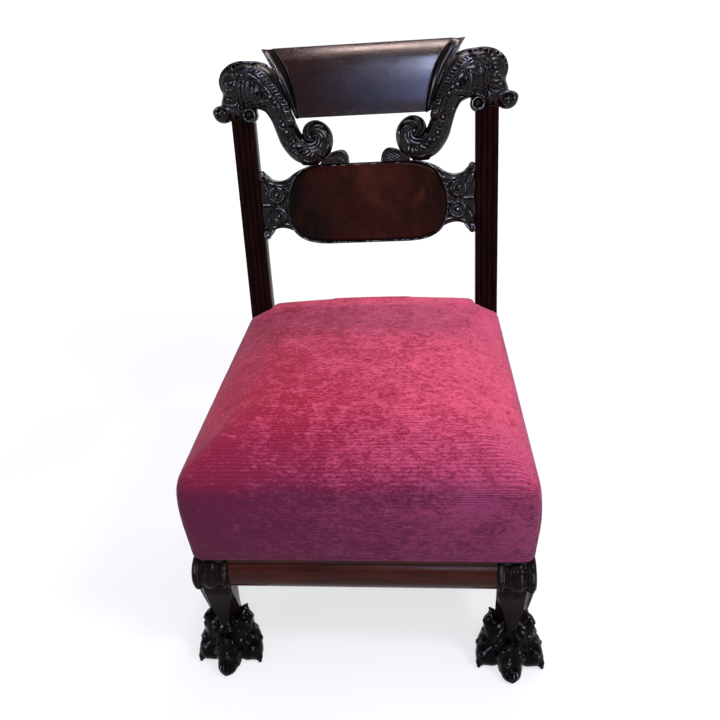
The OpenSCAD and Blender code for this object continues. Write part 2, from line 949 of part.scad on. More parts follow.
// The seat stays full to its rear edge: its shoulder rises between the posts, and falls across them
rear_rise = 23;
function rear_fullness(x, y) =
    (rear_rise * (1 - ease((abs(x) - 183) / 48)) - 7 * pow(min(abs(x), 188) / 188, 2) * ease((y - 178) / 20))
        * ease((y - 110) / 60);
function shoulder_z(x, y) =
    mix(front_shoulder_z, rear_shoulder_z, (y - seat_corner_y) / (seat_rear_y - seat_corner_y)) + rear_fullness(x, y);
function post_front_y(z) = z < rail_top_z ? post_knee_y : mix(post_knee_y, lean_y, (z - rail_top_z) / (lean_z - rail_top_z));
function seat_back_y(z) = min(205, 188 + max(0, z - cover_edge_z) * 0.22);

function half_outline(z, grow) =
    let (front = seat_front_y - grow, corner = front + corner_r, half = cover_half(corner) + grow,
        rear = post_front_y(z) - post_clear, inner = post_in - post_clear, back = seat_back_y(z) + grow / 2)
    concat(
        [for (t = [0, 0.35, 0.7]) [t * (half - corner_r), front]],
        [for (a = [-90, -60, -30, 0]) [half - corner_r + corner_r * cos(a), corner + corner_r * sin(a)]],
        [for (t = [0.2, 0.4, 0.6, 0.8]) let (y = mix(corner, rear - 14, t)) [cover_half(y) + grow, y]],
        [[cover_half(rear - 14) + grow, rear - 14], [cover_half(rear - 3) + grow, rear - 3], [post_out + 1, rear]],
        [[inner, rear], [inner, back - 5], [inner - 14, back], [inner * 0.5, back + 3]]
    );
function outline(z, grow) =
    let (half = half_outline(z, grow), n = len(half))
    concat(half, [[0, half[n - 1][1] + 1]], [for (i = [n - 1:-1:1]) [-half[i][0], half[i][1]]]);
outline_count = len(outline(300, 0));
half_count = len(half_outline(300, 0));
// The cloth is cut away over the rails where it meets a post: these points of half the outline
post_cut_first = half_count - 5;
post_cut_last = half_count - 3;
post_cut_z = rail_top_z + 1.5;

function half_index(i) = i <= half_count ? i : outline_count - i;
function edge_z(low_z, i) =
    let (k = half_index(i))
    k >= post_cut_first && k <= post_cut_last ? max(low_z, post_cut_z) : low_z;

// Pulls a point of the outline towards the middle by a distance
function pulled(p, inset) = seat_centre + (p - seat_centre) * (1 - inset / norm(p - seat_centre));
// Height of the crown above the shoulder, at a share k of the way out to the outline
function crown_at(y) = crown_z - 10 * pow((y + 10) / 200, 2);
function top_z(x, y, k) =
    let (low = shoulder_z(x, y)) mix(low, max(crown_at(y), low + 4), pow(1 - pow(k, 3.2), 0.55));

// Rings up the side of the seat: share of the height to the shoulder, and bulge
side_rows = [[0, -4], [0.25, -1.2], [0.55, 0.4], [0.8, 0.2], [1, -1.5]];
top_rows = [0.985, 0.95, 0.89, 0.8, 0.66, 0.46, 0.22];

function side_ring(low_z, row, inset) =
    [for (i = [0:outline_count - 1])
        let (o = outline(300, 0)[i], high = shoulder_z(o[0], o[1]),
            z = mix(edge_z(low_z, i), high - inset, row[0]), p = pulled(outline(z, row[1])[i], inset))
            [p[0], p[1], z]];
function top_ring(k, inset) =
    [for (i = [0:outline_count - 1])
        let (o = outline(300, 0)[i], p = pulled(outline(shoulder_z(o[0], o[1]), -1.5)[i], inset),
            q = seat_centre + (p - seat_centre) * k)
            [q[0], q[1], top_z(q[0], q[1], k) - inset]];
function seat_pole(inset) = [seat_centre[0], seat_centre[1], top_z(seat_centre[0], seat_centre[1], 0) - inset];
function backwards(list) = [for (i = [len(list) - 1:-1:0]) list[i]];
function cushion_rings(low_z, inset) = concat(
    [for (row = side_rows) side_ring(low_z, row, inset)],
    [for (k = top_rows) top_ring(k, inset)]
);

module seat_cover() {
    color(rose_cloth)
        skin(
            concat(backwards(cushion_rings(cover_edge_z, cover_t)), cushion_rings(cover_edge_z, 0)),
            seat_pole(cover_t), seat_pole(0)
        );
}

// A ring of the outline drawn in to a share k, at a level z
function flat_ring(k, z) = [for (p = outline(rail_top_z, 0)) [mix(seat_centre[0], p[0], k), mix(seat_centre[1], p[1], k), z]];

burlap_edge_z = rail_top_z + 0.2;
burlap_top_z = twine_high_z + twine_r + 1;
burlap_t = 1;
stuffing_inset = cover_t + 3;

module seat_burlap() {
    color(jute)
        skin(
            [flat_ring(0.72, burlap_top_z), flat_ring(0.93, burlap_edge_z),
                flat_ring(0.93, burlap_edge_z + burlap_t), flat_ring(0.72, burlap_top_z + burlap_t)],
            [seat_centre[0], seat_centre[1], burlap_top_z], [seat_centre[0], seat_centre[1], burlap_top_z + burlap_t]
        );
}

module seat_stuffing() {
    under = burlap_t + 1;
    color("ivory")
        skin(
            concat([flat_ring(0.72, burlap_top_z + under), flat_ring(0.93, burlap_edge_z + under)],
                cushion_rings(burlap_edge_z + under, stuffing_inset)),
            [seat_centre[0], seat_centre[1], burlap_top_z + under], seat_pole(stuffing_inset)
        );
}

// Dust cover under the seat, held by tacks

tack_head_r = 4;

module dust_cover() {
    half = [
        [drum_in - 4, -263], [drum_in - 4, stump_back_y + 4], [rail_outer(-230) - 5, stump_back_y + 4],
        [rail_outer(144) - 5, 144], [post_in - 3, 144], [post_in - 3, 178]
    ];
    color("dimgray")
        difference() {
            translate([0, 0, dust_cover_z])
                linear_extrude(dust_cover_t)
                    polygon(concat(half, mirrored(half)));
            for (p = tack_places)
                peg_z(dust_cover_z - 1, dust_cover_z + 2, p[0], p[1], 0.9);
        }
}

module dust_cover_tacks() {
    color(steel)
        for (p = tack_places) {
            peg_z(dust_cover_z - 0.1, rail_bottom_z + 8, p[0], p[1], 0.8);
            peg_z(dust_cover_z - 1, dust_cover_z - 0.05, p[0], p[1], tack_head_r);
        }
}

left_back_post();
right_back_post();
crest_rail();
left_crest_end();
right_crest_end();
left_dolphin();
right_dolphin();
cross_rail();
cross_rail_panel();
left_leaf_scroll();
right_leaf_scroll();
front_rail();
front_rail_moulding();
left_side_rail();
right_side_rail();
rear_rail();
left_front_leg();
right_front_leg();
front_left_corner_block();
front_right_corner_block();
rear_left_corner_block();
rear_right_corner_block();
corner_block_screws();
rail_dowels();
crest_dowels();
dolphin_dowels();
webbing_front_to_back();
webbing_side_to_side();
seat_springs();
spring_twine();
seat_burlap();
seat_stuffing();
seat_cover();
dust_cover();
dust_cover_tacks();
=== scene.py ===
"""Dressed model of a slipper chair: carved dark mahogany and a stuffed velvet seat.

Shapes are worked out in millimetres in the chair's own frame (it faces -Y and stands
on z = 0) and turned into metres when they become meshes.
"""

import logging
from abc import ABC, abstractmethod
from collections.abc import Sequence
from dataclasses import dataclass
from enum import Enum
from math import asin, copysign, cos, hypot, pi, radians, sin, sqrt

import bmesh
import bpy
import numpy as np
from mathutils import Matrix, Vector


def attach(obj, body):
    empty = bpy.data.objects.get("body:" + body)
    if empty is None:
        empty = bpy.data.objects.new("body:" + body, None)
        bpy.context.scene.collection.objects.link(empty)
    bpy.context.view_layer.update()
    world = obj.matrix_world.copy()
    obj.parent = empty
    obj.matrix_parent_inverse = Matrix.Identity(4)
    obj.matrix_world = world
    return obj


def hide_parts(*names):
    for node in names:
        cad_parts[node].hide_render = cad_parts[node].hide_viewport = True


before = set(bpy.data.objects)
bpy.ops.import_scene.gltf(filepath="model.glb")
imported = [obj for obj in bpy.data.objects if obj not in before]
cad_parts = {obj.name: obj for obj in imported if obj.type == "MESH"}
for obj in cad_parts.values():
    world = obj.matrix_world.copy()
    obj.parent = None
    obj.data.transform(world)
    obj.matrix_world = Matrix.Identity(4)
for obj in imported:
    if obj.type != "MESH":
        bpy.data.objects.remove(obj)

Array = np.ndarray
Number = np.ndarray | float
Point = tuple[float, float, float]
Rows = tuple[tuple[float, ...], ...]
Table = Sequence[Sequence[float]]
Piece, Material, Socket = bpy.types.Object, bpy.types.Material, bpy.types.NodeSocket

MM = 0.001
COARSE = 1.0
NO_TRIANGLES = np.empty((0, 3), int)
TURN = 2 * pi
EMPTY = 9.0  # what a carving's empty space starts from
BESIDE = 26.0  # depth at which a path on the front of a carving has left the wood
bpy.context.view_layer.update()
LOG = logging.getLogger("slipper_chair")

LEAN = radians(10.6)
LEAN_Y, LEAN_Z = 176, 407.0
POST_IN, POST_OUT = 189.5, 228.5


class Side(Enum):
    """The two sides of the chair, as the sign of X."""

    LEFT = -1
    RIGHT = 1

    @property
    def word(self) -> str:
        """The side's name, as the frame's nodes use it."""
        return self.name.lower()


# ---- Curves and the leaning back


def lift(level: Number) -> Number:
    """Distance up the leaning back of a height above the floor."""
    return (level - LEAN_Z) / cos(LEAN)


def on_back(across: Array, depth: Array, rise: Array) -> Array:
    """Places points given across, into and up the leaning back.

    The back's plane is turned by the lean about the line y = LEAN_Y, z = LEAN_Z:
    y gains depth times cos plus rise times sin, z gains rise times cos less depth times sin.

    Args:
        across: Distance along X.
        depth: Distance behind the fronts of the posts.
        rise: Distance up the lean.

    Returns:
        Points with a last axis of three.
    """
    y = LEAN_Y + depth * cos(LEAN) + rise * sin(LEAN)
    z = LEAN_Z - depth * sin(LEAN) + rise * cos(LEAN)
    return spread(across, y, z)


def mix(first: Number, second: Number, share: Number) -> Number:
    """Goes from the first value to the second as the share goes from 0 to 1."""
    return first + (second - first) * share


def ease(share: Array) -> Array:
    """Clamps a share to 0..1 and rounds off both ends: 3t^2 - 2t^3."""
    t = np.clip(share, 0, 1)
    return t * t * (3.0 - 2.0 * t)


def bend(points: Table, share: Array) -> Array:
    """A quadratic Bezier curve through the first and last of three points."""
    a, b, c = (np.asarray(p, float) for p in points)
    t = np.asarray(share, float)[..., None]
    return (1 - t) ** 2 * a + 2 * t * (1 - t) * b + t**2 * c


def smooth_path(points: Table, count: int) -> Array:
    """Draws a Catmull-Rom curve through points.

    Between two points the curve is the cubic whose slopes at them are half the step
    between their neighbours. Every column, such as a radius, is carried along.

    Args:
        points: Rows of numbers that the curve passes through.
        count: Number of rows returned.

    Returns:
        Rows evenly spaced in the curve's own parameter.
    """
    p = np.asarray(points, float)
    p = np.vstack([2 * p[0] - p[1], p, 2 * p[-1] - p[-2]])
    u = np.linspace(0, len(p) - 3 - 1e-9, count)
    i = u.astype(int)
    t = (u - i)[:, None]
    a, b, c, d = p[i], p[i + 1], p[i + 2], p[i + 3]
    return 0.5 * (2 * b + (c - a) * t + (2 * a - 5 * b + 4 * c - d) * t**2 + (3 * b - a - 3 * c + d) * t**3)


def beside(path: Array, offset: float) -> Array:
    """Shifts a curve in X and Z sideways, to the left of its direction, by a distance."""
    run = np.gradient(path[:, :2], axis=0)
    run /= np.linalg.norm(run, axis=1, keepdims=True)
    return path[:, :2] + offset * np.stack([-run[:, 1], run[:, 0]], axis=1)


def arc(centre: Sequence[float], reach: Number, angle: Array, stretch: float = 1) -> Array:
    """Places in a plane round a centre, by reach and angle, stretched along the first axis."""
    return spread(centre[0] + stretch * reach * np.cos(angle), centre[1] + reach * np.sin(angle))


def spread(*coordinates: Array) -> Array:
    """Broadcasts coordinates to one shape and stacks them on a last axis."""
    return np.stack(np.broadcast_arrays(*coordinates), axis=-1)


# ---- Meshes


def grid_faces(rows: int, columns: int, wrap: bool = False) -> Array:
    """Quads between neighbouring points of a grid.

    Args:
        rows: Number of rows.
        columns: Number of points in a row.
        wrap: Joins the last point of each row to its first.

    Returns:
        Four point numbers for each quad.
    """
    i = columns * np.arange(rows - 1)[:, None]
    j = np.arange(columns if wrap else columns - 1)[None, :]
    j2 = (j + 1) % columns
    return spread(i + j, i + j2, i + columns + j2, i + columns + j).reshape(-1, 4)


def linked(name: str, data: bpy.types.ID) -> Piece:
    """Makes an object that holds some data, and links it to the scene."""
    obj = bpy.data.objects.new(name, data)
    bpy.context.scene.collection.objects.link(obj)
    return obj


def make_object(name: str, points: Array, quads: Array, triangles: Array = NO_TRIANGLES) -> Piece:
    """Makes a smooth-shaded mesh object from points in millimetres.

    Args:
        name: Name of the object and its mesh.
        points: Points, one a row.
        quads: Four point numbers a row.
        triangles: Three point numbers a row.

    Returns:
        The object, linked to the scene.
    """
    mesh = bpy.data.meshes.new(name)
    mesh.vertices.add(len(points))
    mesh.vertices.foreach_set("co", (points.reshape(-1, 3) * MM).astype(np.float32).ravel())
    corners = np.concatenate([quads.ravel(), triangles.ravel()]).astype(np.int32)
    sizes = np.repeat([4, 3], [len(quads), len(triangles)])
    mesh.loops.add(len(corners))
    mesh.loops.foreach_set("vertex_index", corners)
    mesh.polygons.add(len(sizes))
    mesh.polygons.foreach_set("loop_start", (np.cumsum(sizes) - sizes).astype(np.int32))
    mesh.polygons.foreach_set("use_smooth", np.ones(len(sizes), bool))
    mesh.update(calc_edges=True)
    mesh.validate()
    return linked(name, mesh)


def sharpen(obj: Piece, degrees: float = 38) -> None:
    """Shades edges sharper than an angle as creases."""
    obj.data.set_sharp_from_angle(angle=radians(degrees))


def bevel(obj: Piece, width: float, degrees: float = 38) -> None:
    """Rounds the sharp edges of a piece with a live bevel of a width in millimetres."""
    modifier = obj.modifiers.new("edge_rounding", "BEVEL")
    modifier.width, modifier.segments = width * MM, 2
    modifier.limit_method, modifier.angle_limit = "ANGLE", radians(degrees)
    modifier.use_clamp_overlap = True


def thicken(obj: Piece, thickness: float, offset: float) -> Piece:
    """Gives a sheet a thickness in millimetres, inwards at an offset of -1 and outwards at 1."""
    wall = obj.modifiers.new("cloth_thickness", "SOLIDIFY")
    wall.thickness, wall.offset = thickness * MM, offset
    return obj


def outward(points: Array, quads: Array, triangles: Array = NO_TRIANGLES) -> tuple[Array, Array]:
    """Turns all faces of a closed surface round if their enclosed volume is negative.

    The volume is a sixth of the sum, over triangles, of each triangle's first corner
    times the cross product of the other two, taken about the mean point.

    Args:
        points: Points, one a row.
        quads: Four point numbers a row.
        triangles: Three point numbers a row.

    Returns:
        The quads and the triangles, facing outwards.
    """
    every = np.vstack([quads[:, [0, 1, 2]], quads[:, [0, 2, 3]], triangles])
    a, b, c = ((points - points.mean(0))[every[:, k]] for k in range(3))
    if np.einsum("ij,ij->", a, np.cross(b, c)) < 0:
        return quads[:, ::-1], triangles[:, ::-1]
    return quads, triangles


def closed_grid(name: str, *grids: Array) -> Piece:
    """Makes one piece from closed solids, each capped at both ends by a fan to a pole.

    Args:
        name: Name of the object.
        *grids: The solids, as arrays of rings by points by three.

    Returns:
        The object.
    """
    points, quads, triangles, start = [], [], [], 0
    for rings in grids:
        count, around = rings.shape[:2]
        own = np.vstack([rings.reshape(-1, 3), rings[0].mean(0), rings[-1].mean(0)])
        j = np.arange(around)
        after, pole, last = (j + 1) % around, np.full(around, count * around), (count - 1) * around
        fans = np.vstack([np.stack([pole, after, j], axis=1), np.stack([pole + 1, last + j, last + after], axis=1)])
        faces, fans = outward(own, grid_faces(count, around, wrap=True), fans)
        points.append(own)
        quads.append(faces + start)
        triangles.append(fans + start)
        start += len(own)
    return make_object(name, np.vstack(points), np.vstack(quads), np.vstack(triangles))


def mirrored(points: Array, side: Side) -> Array:
    """Points of the right-hand piece, carried over to a side."""
    return points * np.array([side.value, 1, 1])


def tube(path: Array, radius: float | Array, around: int = 8) -> Array:
    """Rings of a round tube along a path.

    Each ring lies square to the path, in the two directions at right angles to its run:
    one level, one the cross product of the run and that.

    Args:
        path: Points, one a row.
        radius: Radius of the tube, or one for each point.
        around: Points round a ring.

    Returns:
        An array of rings by points by three.
    """
    run = np.gradient(path, axis=0)
    run /= np.linalg.norm(run, axis=1, keepdims=True)
    across = np.cross(run, [0, 0, 1])
    across /= np.maximum(np.linalg.norm(across, axis=1, keepdims=True), 1e-9)
    up = np.cross(across, run)
    angle = np.linspace(0, TURN, around, endpoint=False)[None, :, None]
    width = np.broadcast_to(radius, len(path))[:, None, None]
    return path[:, None] + width * (np.cos(angle) * across[:, None] + np.sin(angle) * up[:, None])


# ---- Carving: signed distances on a grid


def blended_min(first: Array, second: Array, width: float) -> Array:
    """The lesser of two distances, with the crease between them filled to a width.

    Where the two differ by less than the width, the result is lowered by the square of
    what is left of the width, over four widths.
    """
    if width <= 0:
        return np.minimum(first, second)
    near = np.maximum(width - np.abs(first - second), 0)
    return np.minimum(first, second) - near * near / (4.0 * width)


@dataclass
class Carving:
    """A block of wood held as signed distances, to which shapes are added and cut.

    Attributes:
        low: Lowest corner of the block.
        high: Highest corner of the block.
        step: Distance between grid points.
    """

    low: Point
    high: Point
    step: float

    def __post_init__(self) -> None:
        """Fills the block with empty space."""
        self.axes = [np.arange(a, b + self.step, self.step, np.float32) for a, b in zip(self.low, self.high)]
        self.distance = np.full([len(a) for a in self.axes], EMPTY, np.float32)

    def window(self, low: Array, high: Array, blend: float) -> tuple[tuple[slice, ...], Sequence[Array]]:
        """The part of the grid that a shape between two corners can reach, as slices and open coordinates."""
        reach = blend + 3 * self.step
        spans = tuple(slice(*np.searchsorted(a, (p - reach, q + reach))) for a, p, q in zip(self.axes, low, high))
        return spans, np.ix_(*[a[s] for a, s in zip(self.axes, spans)])

    def merge(self, spans: tuple[slice, ...], shape: Array, blend: float, cut: bool) -> None:
        """Adds or cuts a shape, given as distances, its crease filled to a width."""
        sign = -1 if cut else 1
        self.distance[spans] = sign * blended_min(sign * self.distance[spans], shape, blend)

    def within(self, limit: Array) -> None:
        """Cuts away whatever lies where a distance is positive."""
        self.distance = np.maximum(self.distance, limit.astype(np.float32))

    def add_ball(self, centre: Point, radii: Point | float, blend: float = 1.5, cut: bool = False) -> None:
        """Adds or cuts an ellipsoid: k (k - 1) over the length of its gradient, k = |p / radii|."""
        radii = (radii,) * 3 if isinstance(radii, (int, float)) else radii
        spans, grid = self.window(np.subtract(centre, radii), np.add(centre, radii), blend)
        p = [g - c for g, c in zip(grid, centre)]
        k = np.sqrt(sum((a / r) ** 2 for a, r in zip(p, radii)))
        slope = np.sqrt(sum((a / r**2) ** 2 for a, r in zip(p, radii)))
        self.merge(spans, k * (k - 1) / np.maximum(slope, 1e-6), blend, cut)

    def add_limb(self, stations: Table, blend: float = 1.5, flatness: float = 1,
                 cut: bool = False) -> None:
        """Adds or cuts a round limb, bar by bar.

        A bar's radius changes evenly along it. The nearest point of its line is found by projection,
        depths are first multiplied by the flatness, and the radius there is taken off the distance.

        Args:
            stations: Rows of across, depth, rise and radius.
            blend: Width of the filling in the crease.
            flatness: Factor on depths.
            cut: Cuts the limb out of the wood.
        """
        stations, scale = np.asarray(stations, float), np.array([1, flatness, 1])
        for a, b in zip(stations[:-1], stations[1:]):
            size = max(a[3], b[3]) * np.array([1, 1.0 / flatness, 1])
            spans, grid = self.window(np.minimum(a, b)[:3] - size, np.maximum(a, b)[:3] + size, blend)
            axis = (b - a)[:3] * scale
            p = [(g - c) * w for g, c, w in zip(grid, a, scale)]
            t = np.clip(sum(q * w for q, w in zip(p, axis)) / (float(axis @ axis) + 1e-9), 0, 1)
            away = np.sqrt(sum((q - t * w) ** 2 for q, w in zip(p, axis)))
            self.merge(spans, away - mix(a[3], b[3], t), blend, cut)

    def boss(self, across: float, level: float, height: float, radii: Point | float, blend: float = 0.3,
             cut: bool = False) -> None:
        """Adds or cuts a ball on the front of the wood, its centre standing out by a height."""
        rise = lift(level)
        self.add_ball((across, self.front(across, rise) - height, rise), radii, blend, cut)

    def lay(self, points: Array, radius: float | Array, height: float, blend: float = 0.3, cut: bool = False) -> None:
        """Lays a limb on the front of the wood.

        Where the path leaves the wood, its depth is carried over from beside. All depths are then
        averaged over five points.

        Args:
            points: Rows of across and level.
            radius: Radius of the limb, or one for each row.
            height: How far its middle stands out.
            blend: Width of the filling in the crease.
            cut: Cuts the limb out of the wood.
        """
        rise = lift(points[:, 1])
        depth = np.array([self.front(x, s) for x, s in zip(points[:, 0], rise)])
        met = np.flatnonzero(depth < BESIDE)
        if len(met):
            depth = np.interp(np.arange(len(depth)), met, depth[met])
        depth = np.convolve(np.pad(depth, 2, mode="edge"), np.ones(5) / 5, mode="valid")
        self.add_limb(spread(points[:, 0], depth - height, rise, radius), blend, cut=cut)

    def line(self, points: Table, count: int, radii: Sequence[float], height: float,
             blend: float = 0.4, cut: bool = False) -> None:
        """Lays a smooth limb through a few places, its radius going evenly through those given."""
        radius = np.interp(np.linspace(0, 1, count), np.linspace(0, 1, len(radii)), radii)
        self.lay(smooth_path(points, count), radius, height, blend, cut)

    def front(self, across: float, rise: float) -> float:
        """Depth of the first wood met from the front at a place."""
        i, k = (min(max(int(round((v - a[0]) / self.step)), 0), len(a) - 1)
                for v, a in ((across, self.axes[0]), (rise, self.axes[2])))
        inside = np.flatnonzero(self.distance[i, :, k] < 0)
        return float(self.axes[1][inside[0] if len(inside) else -1])

    def surface(self) -> tuple[Array, Array]:
        """Finds the wood's surface as a net of quads.

        A cell whose corners are not all on one side gets a point, the mean of where its
        edges are crossed. Each grid edge that is crossed gets a quad between the points
        of the four cells round it.

        Returns:
            Points, and four point numbers for each quad, facing outwards.
        """
        d = self.distance
        inside = d < 0
        corners = list(map(np.array, np.ndindex(2, 2, 2)))
        count = sum(inside[tuple(slice(c, n - 1 + c) for c, n in zip(corner, d.shape))].astype(np.int8)
                    for corner in corners)
        cells = np.argwhere((count > 0) & (count < 8))
        number = np.full(count.shape, -1, np.int32)
        number[tuple(cells.T)] = np.arange(len(cells))
        total, hits = np.zeros((len(cells), 3)), np.zeros(len(cells))
        for a in corners:
            for b in corners:
                if (b - a).sum() == 1 and (b - a).min() == 0:
                    p, q = d[tuple((cells + a).T)], d[tuple((cells + b).T)]
                    crossed = (p < 0) != (q < 0)
                    t = np.where(crossed, p / np.where(crossed, p - q, 1), 0)
                    total += crossed[:, None] * (a + t[:, None] * (b - a))
                    hits += crossed
        points = np.array([a[0] for a in self.axes]) + self.step * (cells + total / hits[:, None])
        quads = []
        for axis in range(3):
            u, v = np.roll(np.eye(3, dtype=int), -axis - 1, axis=0)[:2]
            lower, upper = [slice(1, -1)] * 3, [slice(1, -1)] * 3
            lower[axis], upper[axis] = slice(0, -1), slice(1, None)
            a, b = inside[tuple(lower)], inside[tuple(upper)]
            at = np.argwhere(a != b)
            quad = spread(*(number[tuple((at + i * u + j * v).T)] for i, j in ((0, 0), (1, 0), (1, 1), (0, 1))))
            quads.append(np.where(a[a != b][:, None], quad, quad[:, ::-1]))
        return points, np.vstack(quads)


# ---- Finishes


class Paint:
    """A material's node tree, with short ways to add to it."""

    def __init__(self, name: str) -> None:
        """Starts a material with one principled shader."""
        self.material = bpy.data.materials.new(name)
        self.material.use_nodes = True
        self.tree = self.material.node_tree
        self.shader = next(n for n in self.tree.nodes if n.type == "BSDF_PRINCIPLED")

    def node(self, kind: str, settings: dict | None = None, **inputs: object) -> bpy.types.Node:
        """Adds a node.

        Args:
            kind: The node's type name, without its ShaderNode prefix.
            settings: Properties of the node.
            **inputs: Sockets by name, with underscores for spaces, as values or as sockets to link.

        Returns:
            The node.
        """
        made = self.tree.nodes.new("ShaderNode" + kind)
        for key, value in (settings or {}).items():
            setattr(made, key, value)
        for key, value in inputs.items():
            self.feed(made, key.replace("_", " "), value)
        return made

    def feed(self, node: bpy.types.Node, socket: str | int, value: object) -> None:
        """Sets or links one input of a node, given by its name or, as iN, by its number."""
        if isinstance(socket, str) and socket[0] == "i" and socket[1:].isdigit():
            socket = int(socket[1:])
        target = node.inputs[socket]
        if isinstance(value, Socket):
            self.tree.links.new(value, target)
        elif isinstance(value, tuple) and len(value) == 3 and target.type == "RGBA":
            target.default_value = (*value, 1)
        else:
            target.default_value = value

    def finish(self, **inputs: object) -> Material:
        """Sets or links inputs of the shader and gives the material."""
        for key, value in inputs.items():
            self.feed(self.shader, key.replace("_", " "), value)
        return self.material

    def place(self, scale: Point = (1, 1, 1), turn: Point = (0, 0, 0), move: Point = (0, 0, 0)) -> Socket:
        """Object coordinates in metres, scaled and turned."""
        source = self.node("TexCoord").outputs["Object"]
        return self.node("Mapping", Vector=source, Scale=scale, Rotation=turn, Location=move).outputs[0]

    def noise(self, at: Socket, scale: float, detail: float = 3, rough: float = 0.5,
              twist: float = 0) -> Socket:
        """Fractal noise between 0 and 1."""
        return self.node("TexNoise", Vector=at, Scale=scale, Detail=detail, Roughness=rough,
                         Distortion=twist).outputs[0]

    def ramp(self, value: Socket, low: float, high: float, first: float = 0,
             last: float = 1) -> Socket:
        """Carries a value from one range to another, clamped."""
        found = self.node("MapRange", {"clamp": True}, Value=value)
        for index, number in zip((1, 2, 3, 4), (low, high, first, last)):
            found.inputs[index].default_value = number
        return found.outputs[0]

    def blend(self, share: object, first: object, second: object, how: str = "MIX") -> Socket:
        """Mixes two colours by a share."""
        found = self.node("Mix", {"data_type": "RGBA", "blend_type": how})
        for index, value in ((0, share), (6, first), (7, second)):
            if isinstance(value, Socket):
                self.tree.links.new(value, found.inputs[index])
            else:
                found.inputs[index].default_value = (*value, 1) if isinstance(value, tuple) else value
        return found.outputs[2]

    def sum(self, first: object, second: object, how: str = "ADD") -> Socket:
        """Works out one sum of two numbers."""
        return self.node("Math", {"operation": how}, i0=first, i1=second).outputs[0]

    def times(self, first: object, second: object) -> Socket:
        """Multiplies two numbers."""
        return self.sum(first, second, "MULTIPLY")

    def bump(self, height: Socket, distance: float, strength: float = 1) -> Socket:
        """A bumped normal from a height, over a distance in millimetres."""
        return self.node("Bump", Height=height, Distance=distance * MM, Strength=strength).outputs[0]


class Grain(Enum):
    """The direction in which wood grain runs, as the scale of a pattern along X, Y and Z."""

    ACROSS = (1, 14, 14)
    UP = (14, 14, 1)


class Finish(ABC):
    """A finish, given by the shader inputs that it draws."""

    name: str

    def build(self) -> Material:
        """Builds the material."""
        p = Paint(self.name)
        return p.finish(**self.draw(p))

    @abstractmethod
    def draw(self, p: Paint) -> dict[str, object]:
        """Adds the nodes, and gives the shader's inputs by name."""


@dataclass(frozen=True)
class PolishedWood(Finish):
    """Mahogany under french polish: streaked figure, pores, and a glossy coat.

    Attributes:
        name: Name of the material.
        dark: Colour of the late wood.
        light: Colour of the early wood.
        grain: Direction of the grain.
        rough: Roughness of the polish.
        streak: Share of the light streaks.
        dust: Share of the painted highlights on raised edges, for carved work; where it is set, hollows are also
            darkened.
        painted_glint: Colour of the painted highlight on rounded places that face the light.
        shine: Specular level of the polish.
    """

    name: str
    dark: Point
    light: Point
    grain: Grain
    rough: float = 0.16
    streak: float = 1.0
    # share of the painted highlights on raised edges
    dust: float = 0.0
    shine: float = 0.4
    painted_glint: Point = (0.6, 0.58, 0.7)

    def draw(self, p: Paint) -> dict[str, object]:
        """Adds the nodes, and gives the shader's inputs by name."""
        along = p.place(self.grain.value)
        wander = p.noise(p.place(), 5, 2)
        bands = p.noise(along, 7, 6, 0.62, 0.8)
        fine = p.noise(p.place(tuple(3.2 * s for s in self.grain.value)), 22, 3, 0.6)
        figure = p.ramp(p.sum(p.sum(bands, p.times(fine, 0.35)), p.times(wander, 0.4)), 0.62, 1.15)
        colour = p.blend(p.times(figure, self.streak), self.dark, self.light)
        pores = p.ramp(p.noise(p.place(tuple(4.5 * s for s in self.grain.value)), 60, 1), 0.56, 0.68)
        colour = p.blend(p.times(pores, 0.45), colour, tuple(0.35 * c for c in self.dark))
        if self.dust:
            shape = p.node("NewGeometry").outputs
            painted_glint, hollow = p.ramp(shape["Pointiness"], 0.53, 0.62), p.ramp(shape["Pointiness"], 0.42, 0.49)
            # painted highlight: a pale grey on the sharpest raised edges
            colour = p.blend(p.times(painted_glint, 0.5 * self.dust), colour, (0.13, 0.12, 0.14))
            # painted highlight: the polish is shown bright on rounded places that face forwards and up, where the lamps
            # would glint
            towards = p.node("VectorMath", {"operation": "DOT_PRODUCT"}, i0=shape["Normal"], i1=(0.12, -0.8, 0.59))
            facing_glint = p.times(p.ramp(shape["Pointiness"], 0.51, 0.55), p.ramp(towards.outputs["Value"], 0.82, 0.97))
            patches = p.ramp(p.noise(p.place(), 95, 2), 0.46, 0.56)
            colour = p.blend(p.times(p.times(facing_glint, patches), self.dust), colour, self.painted_glint)
            # darker in the hollows
            colour = p.blend(hollow, tuple(0.25 * c for c in self.dark), colour)
        smear = p.ramp(p.noise(p.place(), 14, 4, 0.6), 0.35, 0.7, self.rough * 0.75, self.rough * 1.5)
        ripple = p.noise(p.place((1, 1, 1)), 46, 2)
        height = p.sum(ripple, p.times(pores, -0.25))
        return dict(Base_Color=colour, Roughness=smear, Normal=p.bump(height, 0.25, 0.35),
                    Specular_IOR_Level=self.shine)


